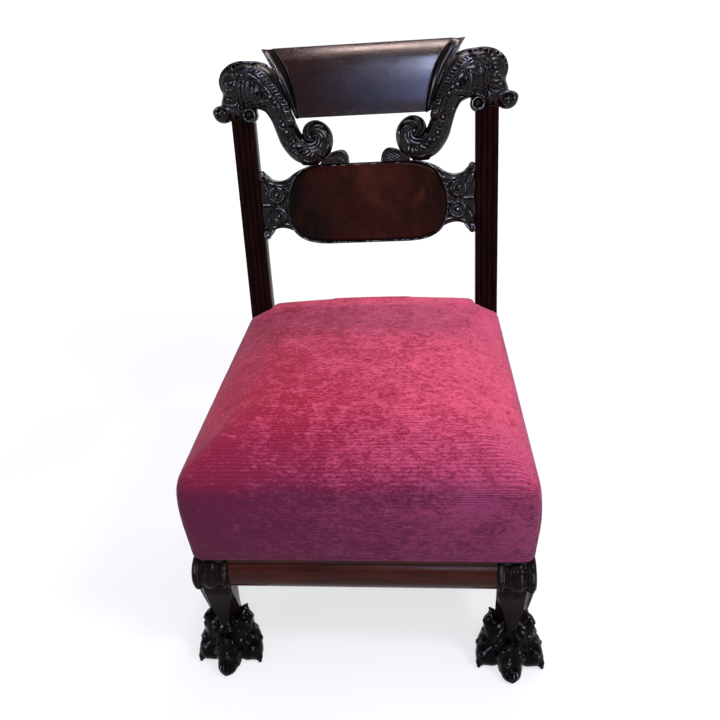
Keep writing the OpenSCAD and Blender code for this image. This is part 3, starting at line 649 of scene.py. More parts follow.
@dataclass(frozen=True)
class CrotchVeneer(Finish):
    """Crotch mahogany veneer: a plume of red and black figure spreading from the middle."""

    name: str = "crotch_veneer"
    dark: Point = (0.003, 0.0012, 0.001)
    red: Point = (0.04, 0.0075, 0.005)
    gold: Point = (0.12, 0.028, 0.01)

    def draw(self, p: Paint) -> dict[str, object]:
        """Adds the nodes, and gives the shader's inputs by name."""
        plume = p.noise(p.place((1, 1, 0.55), (0, 0.5, 0)), 9, 5, 0.55, 1.6)
        feather = p.noise(p.place((5, 5, 1.4), (0, 0.9, 0)), 18, 5, 0.6, 0.9)
        broad = p.noise(p.place((1, 1, 0.6)), 5.5, 2, 0.5)
        side = p.node("SeparateXYZ", Vector=p.place()).outputs[0]
        middle = p.ramp(p.sum(p.sum(side, -0.03), 0, "ABSOLUTE"), 0.02, 0.19, 0.2, -0.42)
        total = p.sum(p.sum(plume, p.times(feather, 0.5)), p.times(broad, 0.6))
        share = p.ramp(p.sum(total, middle), 0.78, 1.3)
        colour = p.blend(share, self.dark, self.red)
        glow = p.ramp(p.noise(p.place((1, 1, 1), (0, 0.7, 0), (0.02, 0, 0.03)), 10, 4, 0.6, 1), 0.55, 0.78)
        colour = p.blend(p.times(p.times(glow, share), 0.8), colour, self.gold)
        flecks = p.ramp(p.noise(p.place((14, 14, 3)), 40, 2), 0.52, 0.7)
        colour = p.blend(p.times(flecks, 0.4), colour, self.dark)
        return dict(Base_Color=colour, Roughness=0.2, Normal=p.bump(p.noise(p.place(), 40, 2), 0.2, 0.25),
                    Specular_IOR_Level=0.05)


@dataclass(frozen=True)
class ChenilleVelvet(Finish):
    """Ribbed chenille velvet whose pile lies in patches, rose on top and purple in front, the front darker partly by
    painted shade.

    Attributes:
        name: Name of the material.
        rose: Colour where the pile is seen along its nap, on the top.
        wine: Colour of the pressed patches on the top.
        plum: Colour of the front, darker than the top partly as painted shade.
        bloom: Colour of the brushed patches on the front.
        pitch: Distance between ribs, in millimetres.
    """

    name: str = "chenille_velvet"
    rose: Point = (0.75, 0.1, 0.182)
    wine: Point = (0.3, 0.009, 0.031)
    plum: Point = (0.145, 0.014, 0.053)
    bloom: Point = (0.39, 0.058, 0.155)
    pitch: float = 4.3

    def draw(self, p: Paint) -> dict[str, object]:
        """Adds the nodes, and gives the shader's inputs by name."""
        at = p.place()
        split = p.node("SeparateXYZ", Vector=at)
        facing = p.node("SeparateXYZ", Vector=p.node("NewGeometry").outputs["Normal"]).outputs
        wander = p.times(p.sum(p.noise(at, 6, 2), -0.5), 0.6)
        # ribs run across the seat, and their count goes on over the shoulder and down the front
        across = p.node("Attribute", {"attribute_name": "rib_run"}).outputs["Fac"]
        # the colour of the top ends in a soft, wavy line: by the slope at the sides, by the run of the cloth in front
        over = p.sum(across, p.times(wander, 0.09))
        front = p.ramp(facing[1], -0.5, -0.2, 1, 0)
        top = p.sum(p.times(p.ramp(p.sum(facing[2], wander), 0.05, 0.8), p.sum(1, front, "SUBTRACT")),
                    p.times(p.ramp(over, -0.013, 0.014), front))
        # painted shade: the top darkens towards the front shoulder, where the cloth rounds over
        top = p.times(top, p.ramp(over, 0, 0.12, 0.36, 1))
        waver = p.times(p.noise(p.place((0.35, 1, 1)), 26, 2), 0.0022)
        turns = p.times(p.sum(across, waver), TURN / (self.pitch * MM))
        rib = p.ramp(p.sum(turns, 0, "SINE"), -1, 1)
        # mottled pile: streaks along the ribs, patches and flecks
        streaks = p.noise(p.place((7, 24, 24)), 8, 4, 0.65, 0.3)
        patches = p.noise(at, 22, 5, 0.72, 0.5)
        mottle = p.noise(p.place((1, 1.5, 1.5)), 62, 4, 0.7)
        flecks = p.noise(p.place((1, 2.2, 2.2)), 150, 3, 0.7)
        fibres = p.noise(p.place((1, 1.6, 1.6)), 480, 2, 0.7)
        pile = p.sum(p.sum(p.times(patches, 0.6), p.times(streaks, 0.5)),
                     p.sum(p.times(flecks, 1), p.times(fibres, 0.6)))
        pile = p.sum(pile, p.times(mottle, 0.5))
        # painted light: the right and the rear are lighter, as if lit from the right; the pile leaning to the left adds
        # to it
        lie_and_light = p.sum(p.ramp(split.outputs[0], -0.27, 0.27, -0.26, 0.21),
                    p.ramp(split.outputs[1], -0.25, 0.15, -0.06, 0.06))
        worms = p.noise(p.place((0.7, 1.1, 1.1)), 62, 2, 0.55, 1.2)
        worms = p.ramp(p.sum(p.sum(worms, -0.5), 0, "ABSOLUTE"), 0.008, 0.045, 1, 0)
        where = p.ramp(p.sum(p.noise(at, 13, 3, 0.6), lie_and_light), 0.46, 0.66)
        share = p.sum(p.ramp(p.sum(pile, lie_and_light), 1.42, 1.8), p.times(p.times(worms, where), 0.35), "SUBTRACT")
        share = p.ramp(share, 0, 1)
        # the front takes the darker colours by its normal: partly the pile's lean, partly painted shade
        upper = p.blend(share, self.wine, self.rose)
        lower = p.blend(share, self.plum, self.bloom)
        colour = p.blend(top, lower, upper)
        groove = p.ramp(rib, 0, 0.45, 0.65, 0)
        colour = p.blend(p.times(groove, p.ramp(p.noise(at, 11, 2), 0.3, 0.7, 0.35, 0.9)), colour,
                         p.blend(top, (0.09, 0.008, 0.04), (0.22, 0.012, 0.035)))
        height = p.sum(p.times(rib, 0.9), p.sum(p.times(flecks, 0.7), p.times(fibres, 0.6)))
        return dict(Base_Color=colour, Roughness=0.92, Specular_IOR_Level=0.15, Normal=p.bump(height, 0.8, 0.6),
                    Sheen_Weight=0.27, Sheen_Roughness=0.45, Sheen_Tint=(1, 0.52, 0.64))


@dataclass(frozen=True)
class WovenCloth(Finish):
    """Plain woven cloth, such as jute, cambric or twine.

    Attributes:
        name: Name of the material.
        dark: Colour between the threads.
        light: Colour of the threads.
        pitch: Distance between threads, in millimetres.
        rough: Roughness.
    """

    name: str
    dark: Point
    light: Point
    pitch: float
    rough: float = 0.9

    def draw(self, p: Paint) -> dict[str, object]:
        """Adds the nodes, and gives the shader's inputs by name."""
        split = p.node("SeparateXYZ", Vector=p.place())
        turns = TURN / (self.pitch * MM)
        warp = p.sum(p.times(split.outputs[0], turns), 0, "SINE")
        weft = p.sum(p.times(split.outputs[1], turns), 0, "SINE")
        weave = p.ramp(p.times(warp, weft), -0.8, 0.8)
        slub = p.noise(p.place((1, 9, 1)), 60, 3, 0.6)
        share = p.ramp(p.sum(p.times(weave, 0.6), p.times(slub, 0.6)), 0.2, 0.95)
        colour = p.blend(share, self.dark, self.light)
        return dict(Base_Color=colour, Roughness=self.rough, Normal=p.bump(p.sum(weave, slub), 0.3, 0.7),
                    Specular_IOR_Level=0.2)


@dataclass(frozen=True)
class PlainWood(Finish):
    """Unfinished secondary wood with open grain."""

    name: str = "plain_wood"
    dark: Point = (0.27, 0.15, 0.07)
    light: Point = (0.5, 0.33, 0.18)
    grain: Grain = Grain.ACROSS

    def draw(self, p: Paint) -> dict[str, object]:
        """Adds the nodes, and gives the shader's inputs by name."""
        bands = p.noise(p.place(self.grain.value), 9, 5, 0.6, 0.6)
        fine = p.noise(p.place(tuple(3 * s for s in self.grain.value)), 40, 2)
        share = p.ramp(p.sum(bands, p.times(fine, 0.4)), 0.5, 0.95)
        return dict(Base_Color=p.blend(share, self.dark, self.light), Roughness=0.7,
                    Normal=p.bump(fine, 0.2, 0.5), Specular_IOR_Level=0.3)


@dataclass(frozen=True)
class BareSteel(Finish):
    """Dull steel with a drawn surface and a little tarnish."""

    name: str = "bare_steel"
    bright: Point = (0.42, 0.42, 0.43)
    dull: Point = (0.22, 0.17, 0.13)

    def draw(self, p: Paint) -> dict[str, object]:
        """Adds the nodes, and gives the shader's inputs by name."""
        spots = p.ramp(p.noise(p.place(), 60, 4, 0.65), 0.5, 0.72)
        fine = p.noise(p.place((1, 1, 6)), 420, 2)
        return dict(Base_Color=p.blend(spots, self.bright, self.dull), Roughness=p.ramp(spots, 0, 1, 0.34, 0.65),
                    Metallic=1, Normal=p.bump(fine, 0.05, 0.4))


@dataclass(frozen=True)
class Wadding(Finish):
    """Teased hair and cotton wadding."""

    name: str = "wadding"
    dark: Point = (0.42, 0.36, 0.27)
    light: Point = (0.78, 0.74, 0.64)

    def draw(self, p: Paint) -> dict[str, object]:
        """Adds the nodes, and gives the shader's inputs by name."""
        tufts = p.noise(p.place(), 55, 6, 0.72, 1.5)
        strands = p.noise(p.place((1, 1, 3)), 320, 3, 0.7, 2)
        share = p.ramp(p.sum(tufts, p.times(strands, 0.5)), 0.5, 1)
        return dict(Base_Color=p.blend(share, self.dark, self.light), Roughness=1,
                    Normal=p.bump(p.sum(tufts, strands), 1.2, 0.7), Specular_IOR_Level=0.1)


FINISHES = {
    # the dust values below set the share of painted highlights on raised edges, and turn on darker hollows
    "mahogany": PolishedWood("polished_mahogany", (0.0035, 0.001, 0.0008), (0.02, 0.005, 0.0033), Grain.UP, dust=0.12,
                             shine=0.02),
    "crest_mahogany": PolishedWood("crest_mahogany", (0.0025, 0.0007, 0.0006), (0.019, 0.003, 0.0026), Grain.ACROSS,
                                   0.15, shine=0.34),
    "carved_mahogany": PolishedWood("carved_mahogany", (0.001, 0.0006, 0.0006), (0.012, 0.0045, 0.0035), Grain.UP, 0.14,
                                    0.5, 0.9, 0.2),
    "leg_mahogany": PolishedWood("leg_mahogany", (0.004, 0.0022, 0.0018), (0.026, 0.0125, 0.0095), Grain.UP, 0.16,
                                 0.7, 0.5, 0.035),
    "paw_mahogany": PolishedWood("paw_mahogany", (0.0006, 0.0004, 0.0004), (0.005, 0.0025, 0.0022), Grain.UP, 0.13,
                                 0.5, 0.7, 0.05),
    "stained_wood": PolishedWood("stained_wood", (0.002, 0.001, 0.0008), (0.02, 0.006, 0.004), Grain.UP, 0.3,
                                 shine=0.1),
    "panel_veneer": CrotchVeneer(),
    "red_mahogany": PolishedWood("red_mahogany", (0.018, 0.0035, 0.0028), (0.085, 0.016, 0.010), Grain.ACROSS, 0.22,
                                 shine=0.12),
    "plain_wood": PlainWood(),
    "steel": BareSteel(),
    "jute": WovenCloth("jute_webbing", (0.2, 0.13, 0.06), (0.5, 0.37, 0.21), 2.2),
    "twine": WovenCloth("laid_twine", (0.33, 0.24, 0.13), (0.62, 0.5, 0.32), 1.6),
    "stuffing": Wadding(),
    "seat_velvet": ChenilleVelvet(),
    "cambric": WovenCloth("black_cambric", (0.004, 0.004, 0.004), (0.022, 0.022, 0.024), 0.8),
}


# ---- The crest's curve, which the crest, its ends and the dolphins share

CREST_LOW, CREST_PULL, CREST_HIGH = (212.5, 739), (246.9, 812.9), (307.9, 835.9)
CREST_THICK = 22.0
CREST_UP, CREST_TURN = np.linspace(0, 1, 44), np.linspace(0, pi, 26)[1:-1]
FACE_BEND, END_BEND = (106, 111, 152), (110, 144.5, 175)


def crest_front(share: Array) -> Array:
    """Y and Z of the crest's front, a quadratic Bezier curve from its low edge to its roll."""
    return bend((CREST_LOW, CREST_PULL, CREST_HIGH), share)


def crest_into(share: Array) -> Array:
    """Directions into the wood: the curve's run, turned by a right angle."""
    low, pull, high = (np.array(p) for p in (CREST_LOW, CREST_PULL, CREST_HIGH))
    run = mix(pull - low, high - pull, np.asarray(share, float)[..., None])
    into = np.stack([run[..., 1], -run[..., 0]], axis=-1)
    return into / np.linalg.norm(into, axis=-1, keepdims=True)


def crest_rise(points: Array) -> Array:
    """Distance of Y and Z points up the crest, seen square to its middle."""
    return ((points - np.array(CREST_LOW)) @ np.array([1, 1])) / sqrt(2)


def half_width(bends: Point, rise: Array) -> Array:
    """Half the width of the crest at a rise: a Bezier curve through three half widths."""
    share = np.linspace(0, 1, 60)
    rises = crest_rise(crest_front(share))
    widths = bend([(b,) for b in bends], share)[:, 0]
    return np.interp(rise, rises, widths)


def crest_loop(inset: Array, columns: int) -> Array:
    """The crest's section, once round: up the front, over the roll and down the back.

    Args:
        inset: Distance of the front below the full shape, one for each column.
        columns: Number of columns across the crest.

    Returns:
        Y and Z in an array of points round the section by columns by two.
    """
    inset = np.broadcast_to(inset, columns)[None, :, None]
    front, into = crest_front(CREST_UP)[:, None], crest_into(CREST_UP)[:, None]
    keep = 1 - 0.8 * ease((CREST_UP - 0.68) / 0.32)[:, None, None]
    turn = CREST_TURN[:, None, None]
    middle, last = front[-1:] + into[-1:] * CREST_THICK / 2, into[-1:]
    along = np.stack([-last[..., 1], last[..., 0]], axis=-1)
    roll = middle + (CREST_THICK / 2 - 0.2 * inset) * (-np.cos(turn) * last + np.sin(turn) * along)
    # the back starts a little higher, so that the low edge faces down
    up = mix(0.05, 1, CREST_UP)
    back = crest_front(up)[:, None] + crest_into(up)[:, None] * (CREST_THICK - 0.2 * inset)
    return np.concatenate([front + into * inset * keep, roll, back[::-1]])


CREST_SHARES = np.linspace(-0.4, 1, 80)
CREST_POINTS = np.where(CREST_SHARES[:, None] < 0,
                        np.array(CREST_LOW) + CREST_SHARES[:, None] * np.array([40, 60]),
                        crest_front(np.maximum(CREST_SHARES, 0)))
CREST_RISES = crest_rise(CREST_POINTS)
CREST_FRONTS = ((CREST_POINTS - np.array(CREST_LOW)) @ np.array([1, -1])) / sqrt(2)
END_HALVES = half_width(END_BEND, CREST_RISES)


# ---- Carved pieces of the back


def raised(rows: Table) -> Array:
    """Turns rows that start with across, level, depth into across, depth, rise, and the rest."""
    p = np.asarray(rows, float)
    return np.column_stack([p[:, 0], p[:, 2], lift(p[:, 1]), p[:, 3:]])


@dataclass
class Dolphin:
    """A carved dolphin that bites the top of a post and winds its tail under the crest.

    Attributes:
        step: Grid spacing of the carving.
        flatness: How much deeper the body is than it is wide, as a factor on depths.
        eye: Place of the eye, across and level.
        beak: Centre of the outward curl of the beak.
        jaw: Centre of the jaw's round curl.
        tail: Centre of the tail's volute.
        body: Rows of across, level, depth and radius from the head to the tip of the tail.
        beads: Places of the beads down the body.
        ridge: Places along the ridge of the head.
        notches: Places of the notches in it.
    """

    step: float = 0.95
    flatness: float = 0.96
    eye: tuple[float, float] = (220, 795)
    beak: tuple[float, float] = (242.5, 745.5)
    jaw: tuple[float, float] = (193, 741.5)
    tail: tuple[float, float] = (86, 704)
    body: Rows = (
        (166, 783, 4, 31), (160, 775, 2, 29), (150, 764, 1, 24.5), (144, 750, 0, 20.5), (139, 736, 2, 18.8),
        (135, 724, 3, 18.8), (131, 712, 5, 19.3), (127, 701, 6.5, 19.8), (121, 691, 8, 20), (111, 681, 10, 21),
        (98, 676.5, 11, 20.6), (86, 677, 11.5, 19.2), (76, 683, 12, 17.6), (71, 693, 12, 16.4), (71, 703, 12, 15.4),
        (76, 711.5, 12, 14.2), (84, 716.5, 12, 12.6), (93, 715, 12, 11), (97.5, 709, 12, 9.6), (96, 702.5, 12, 8.4),
        (90, 699.5, 12, 7.4),
    )
    beads: Rows = (
        (168.7, 777), (158.5, 772), (151, 769.5), (145, 760), (137, 748), (133.5, 735), (134.5, 724), (130.5, 712),
        (126, 700), (119.5, 689), (109.5, 683), (98, 679),
    )
    ridge: Rows = (
        (160, 817.5), (174, 821.5), (190, 823), (206, 823.5), (222, 819), (234, 809), (238.6, 797), (236.5, 785),
    )
    notches: Rows = (
        (180, 822.5), (188, 823), (197, 824), (207, 822.5), (215, 820.5), (226, 817.5), (234.5, 811), (240.6, 804),
    )

    def body_and_tail(self, block: Carving) -> None:
        """Carves the body, the strap along it, its beads and the winding tail."""
        block.add_limb(smooth_path(raised(self.body), 90), 1, self.flatness)
        plain = smooth_path(self.body, 120)
        # the outer strap, and the fillets between it and the beads
        for share, radius, height, first, last in (
            (0.62, 3, 0.2, 22, 84), (0.38, 1.2, 0.2, 20, 60), (-0.2, 1.1, 0.2, 14, 50), (-0.62, 1.6, 0, 10, 60),
        ):
            block.lay(beside(plain, share * plain[:, 3:])[first:last:2], radius, height, 0.6)
        for k, (x, z) in enumerate(self.beads):
            size = 4.6 if k < 2 else 3.8
            block.lay(arc((x, z), size + 1.2, np.linspace(0, TURN, 13)), 1.1, 0.2, cut=True)
            block.boss(x, z, -0.6, size)
        # leaves that hatch the bend of the tail, with a fillet under them
        across = np.linspace(0, 1, 7)
        for k in range(7):
            turn = radians(mix(-22, -128, k / 6))
            path = arc((88, 695), mix(19.5, 31, across), turn + 0.16 * np.sin(pi * across))
            block.lay(path, np.array([1.4, 2.4, 3, 3, 2.6, 2, 1.2]), 0.4)
        block.lay(arc((88, 695.5), 34, np.radians(np.linspace(-30, -125, 18))), 1.7, 0.3)
        # the foot under the tail, and the swirl inside the volute
        block.add_ball((97, 12, lift(660)), (17, 11, 8), 2)
        turn = np.linspace(0, 1, 16)
        for k in range(7):
            path = arc(self.tail, mix(4, 21, turn), TURN * k / 7 + 2.4 * turn)
            block.lay(path, mix(1, 1.9, turn), 0.3, 0.5)
        block.boss(*self.tail, 0.5, 4, 0.6)

    def head(self, block: Carving) -> None:
        """Carves the domed head, its notched ridge, brow, eye and cheek."""
        tall = 0.985 / cos(LEAN)
        for x, d, z, rx, rd, rz, blend in (
            (176, 6, 788, 35.5, 27, 35.5 * tall, 8), (196, 10, 791, 34, 27, 34 * tall, 8),
            (213, 13, 794.5, 31, 26, 31 * tall, 8), (168, 6, 768, 16, 20, 14, 5), (212, 8, 753, 17, 15, 14, 5),
            (212, 13, 743, 20, 12, 12, 3),
        ):
            block.add_ball((x, d, lift(z)), (rx, rd, rz), blend)
        block.add_limb(raised(((222, 776, 12, 17), (227, 762, 12, 16), (233, 750, 12, 14))), 5, 0.85)
        ridge = smooth_path(self.ridge, 34)
        block.add_limb(spread(ridge[:, 0], 3, lift(ridge[:, 1]), 4.4), 1)
        for x, z in self.notches:
            ox, oz = np.array([x - 205, z - 786]) / hypot(x - 205, z - 786)
            rows = [(x + k * ox, d, lift(z + k * oz), 2.3) for k, d in ((-5, -8), (-2, -5), (-0.5, -2.5), (-0.5, 1))]
            block.add_limb(rows, 0.5, cut=True)
        # the lobe of the forehead, its scallops and the hollow under it
        block.add_ball((194, 5, lift(811.5)), (23.5, 22.5, 12.5), 0.8)
        block.add_ball((182, 4, lift(807)), (17, 20, 12.5), 0.8)
        for x, z, r in ((207, 807, 5), (198.5, 805, 5), (189.5, 803, 5), (180, 802, 4.6)):
            block.boss(x, z, -2.6, r, 0.4)
        block.line(((214, 800.5), (206, 798.5), (198, 797), (190, 795), (182, 793.5), (174, 793)), 16, (2.4,), 0.2, 0.5,
                   True)
        # eye, brow, lid and the wrinkles of the snout
        x, z = self.eye
        block.boss(x, z - 0.5, 0, (7.6, 4.5, 5.8), 1, True)
        block.boss(x, z - 0.5, -1.2, 4.6)
        block.line(((211, 800), (213, 804), (217.5, 807.5), (224.4, 808), (231, 803.5), (233.5, 796)), 18, (1.8, 3.2),
                   0.8, 0.6)
        block.line(((212.5, 791.5), (216, 788.5), (221.5, 788), (227.5, 791), (229.5, 795)), 12, (1.5,), 0.8)
        for points in (((211, 783), (217, 778.5), (225, 778), (231, 781)),
                       ((211.5, 774), (217, 770.5), (225, 770.5), (232, 774)),
                       ((214, 765), (220, 762), (228, 762.5), (234, 765))):
            block.line(points, 10, (1.2,), 0.3, cut=True)
        for x, z in ((227.8, 783.5), (232.5, 779), (219.5, 784)):
            block.boss(x, z, 0, 2.3)

    def gills(self, block: Carving) -> None:
        """Carves the leaves that hang over the neck behind the head, with their scalloped edge."""
        share = np.linspace(0, 1, 12)
        for x0, z0, x1, z1 in ((204, 797, 202.5, 768.5), (196.5, 797, 194.5, 767.5), (188.5, 795.5, 186, 768.5),
                               (180, 794, 177, 765.5), (172, 792, 168.5, 766.5)):
            path = spread(mix(x0, x1, share) + 1.5 * np.sin(pi * share), mix(z0, z1, share))
            block.lay(path, np.interp(share, (0, 0.3, 0.7, 1), (2.6, 4.4, 5.2, 4.2)), -1.2, 0.2)
            block.lay(path[4:-1], 0.8, 0.2, cut=True)
        front = smooth_path(((207, 795), (205, 788), (203.5, 779), (205.5, 769), (206, 763)), 12)
        block.lay(front + (3.2, 0), 2.2, 0.6, 0.5, True)
        block.lay(front, 1.8, 0.8, 0.4)
        low = smooth_path(((207, 760.5), (202, 764.8), (198.6, 764.2), (194, 764.5), (190, 766.8), (184, 766.4),
                           (180, 762), (175, 761.8), (170, 763.8), (163, 763)), 30)
        block.lay(low - (0, 5.5), 4, -0.6, 1, True)
        block.lay(low, 1.9, 0.6, 0.4)

    def mouth(self, block: Carving) -> None:
        """Carves the beak's broad outward curl and the jaw's round, hollow curl."""
        x, z = self.beak
        block.add_ball((x - 0.5, 10, lift(z)), (17.8, 13.5, 15.2), 2)
        block.add_ball((x + 8, 10, lift(z + 4)), (10.5, 11, 9), 3)
        turn = np.linspace(0, 1, 30)
        angle = radians(165) - turn * radians(470)
        block.lay(arc((x + 2, z + 1), 6.5, angle[:20], 8.5 / 6.5), 3.4, -0.8, 0.8, True)
        block.lay(arc((x + 1, z + 1), mix(13.4, 3.5, turn**0.8), angle, 1.18),
                  np.interp(turn, (0, 0.3, 0.7, 1), (2.4, 3, 2.6, 2)), 1, 0.4)
        for x, z, size in ((251.5, 754.5, 2.4), (252.8, 747.5, 2.2), (237.6, 747.5, 2.6), (243.4, 741.5, 2.6),
                           (240.2, 733.8, 2.4)):
            block.boss(x, z, 0.2, size)
        block.line(((231, 755), (225, 751), (220.5, 746), (224, 739.5), (231, 736)), 14, (1.6, 3, 1.6), 0.6)
        x, z = self.jaw
        block.add_limb(raised(((196, 768, 9, 13), (194.5, 757, 9, 11.5), (x, z, 7, 12.6))), 3)
        block.add_ball((x, -1, lift(z)), (13, 12, 13), 1.5)
        block.add_ball((x + 0.5, block.front(x, lift(z)), lift(z + 2.5)), (8.2, 9.5, 8.4), 1, True)
        block.lay(arc((x + 0.5, z + 1), 9.6, np.radians(np.linspace(-205, 25, 20))),
                  np.interp(np.arange(20), (0, 10, 19), (1.2, 2.6, 1.2)), 0.6, 0.4)

    def fin(self, block: Carving) -> None:
        """Carves the hatched fin with its fillets between the body and the crest's end."""
        outer = smooth_path(((118, 728), (121.4, 735), (126.5, 750), (133, 766), (143, 780.5), (152.4, 793),
                             (166.5, 807), (180, 815)), 40)
        depth = np.interp(outer[:, 1], (728, 760, 790, 815), (-19, -17, -8, 4))
        block.add_limb(spread(outer[:, 0] + 5, depth + 9, lift(outer[:, 1]), 9), 2)
        for shift, radius in ((3.4, 1.5), (-4.6, 1.7), (-9.6, 1.4)):
            block.lay(beside(outer, shift), radius, 0.9)
        for i in range(1, 38, 2):
            block.lay(np.linspace(beside(outer, 2.6)[i], beside(outer, -3.6)[i + 1], 4), 1.3, 0.9)

    def make_room(self, block: Carving) -> None:
        """Cuts away what would stand in the crest rail, its end, the cross rail or the post."""
        x, d, s = np.ix_(*block.axes)
        place = on_back(x, d, s)
        y, z = place[..., 1] - CREST_LOW[0], place[..., 2] - CREST_LOW[1]
        rise, front = (y + z) / sqrt(2), (y - z) / sqrt(2)
        half = np.interp(rise, CREST_RISES, END_HALVES)
        reach = np.interp(rise, CREST_RISES, CREST_FRONTS)
        room = np.maximum(np.maximum(x - half - 0.2, reach - 0.4 - front), -rise - 0.3)
        block.within(-np.maximum(room, front - reach - 24))
        block.within(lift(655.2) - s)
        block.within(-np.maximum(np.abs(x - 209) - 19.7, np.maximum(s - lift(738.2), -d - 3)))

    def carve(self) -> tuple[Array, Array]:
        """Carves the right-hand dolphin.

        Returns:
            Points in millimetres in the chair's frame, and the quads between them.
        """
        block = Carving((45, -32, lift(648)), (268, 46, lift(832)), self.step * COARSE)
        for work in (self.body_and_tail, self.head, self.gills, self.mouth, self.fin, self.make_room):
            work(block)
        points, quads = block.surface()
        return on_back(*points.T), quads


@dataclass
class Crest:
    """The rolled crest rail and the hollow crescents at its ends.

    Attributes:
        columns: Points across the crest rail.
        hollow: Depth of the hollow in an end.
        fillet: Share of an end's width that its raised edges take.
    """

    columns: int = 81
    hollow: float = 4.6
    fillet: float = 0.13

    def ladder(self, name: str, rings: Array) -> Piece:
        """Closes rings round a bent board with quads from the front to the back at each end."""
        count, around = rings.shape[:2]
        points = rings.reshape(-1, 3)
        quads = grid_faces(count, around, wrap=True)
        i = np.arange(around // 2 - 1)
        cap = np.stack([i, i + 1, around - 2 - i, around - 1 - i], axis=1)
        last = (count - 1) * around
        quads = np.vstack([quads, cap, (cap + last)[:, ::-1]])
        return make_object(name, points, outward(points, quads)[0])

    def rail(self) -> Piece:
        """Makes the crest rail: its section carried across, each point out to its own half width."""
        loop = crest_loop(np.zeros(1), 1)[:, 0]
        half = half_width(FACE_BEND, crest_rise(loop))
        across = np.linspace(-1, 1, self.columns)
        x = across[:, None] * half[None, :]
        rings = spread(x, loop[None, :, 0], loop[None, :, 1])
        return self.ladder("crest_rail_board", rings)

    def end(self, side: Side) -> Piece:
        """Makes a crest end, hollowed by a sine between two raised fillets."""
        share = np.concatenate([np.linspace(0, self.fillet, 7), np.linspace(self.fillet, 1 - self.fillet, 22)[1:-1],
                                np.linspace(1 - self.fillet, 1, 7)])
        inner = np.clip((share - self.fillet) / (1 - 2 * self.fillet), 0, 1)
        edge = np.minimum(share, 1 - share) / self.fillet
        bead = np.where(edge < 1, -1.3 * np.sqrt(np.maximum(1 - (2 * np.clip(edge, 0, 1) - 1) ** 2, 0)), 0)
        inset = 1.2 + self.hollow * np.sin(pi * inner) ** 0.7 + bead
        loop = crest_loop(inset, len(share))
        rise = crest_rise(loop)
        low = half_width(FACE_BEND, rise) + 0.1
        # the outer corner is rounded where it goes over the roll
        count = len(CREST_UP)
        over = np.concatenate([np.zeros(count), np.where(CREST_TURN < pi / 2, np.sin(CREST_TURN) ** 2, 1),
                               1 - ease(np.arange(count) / 9)])
        high = half_width(END_BEND, rise) - 6.5 * over[:, None]
        x = mix(low, high, share[None, :])
        rings = spread(x, loop[..., 0], loop[..., 1]).transpose(1, 0, 2)
        return self.ladder(f"{side.word}_crest_end_hollow", mirrored(rings, side))

    def studs(self, side: Side) -> Piece:
        """Makes the row of small studs along the outer edge of a crest end."""
        up = np.linspace(0.3, 0.985, 30)
        front, into = crest_front(up), crest_into(up)
        high = half_width(END_BEND, crest_rise(front)) - 2.6
        shares = np.array([-1, -0.8, -0.3, 0.3, 0.8, 1])
        grids = []
        for x, (y, z), (dy, dz) in zip(high, front, into):
            path = np.array([(x, y + 1.9 * s * dy, z + 1.9 * s * dz) for s in shares])
            grids.append(mirrored(tube(path, 1.8 * np.sqrt(np.maximum(1 - shares**2, 0.01)), 8), side))
        return closed_grid(f"{side.word}_crest_end_studs", *grids)


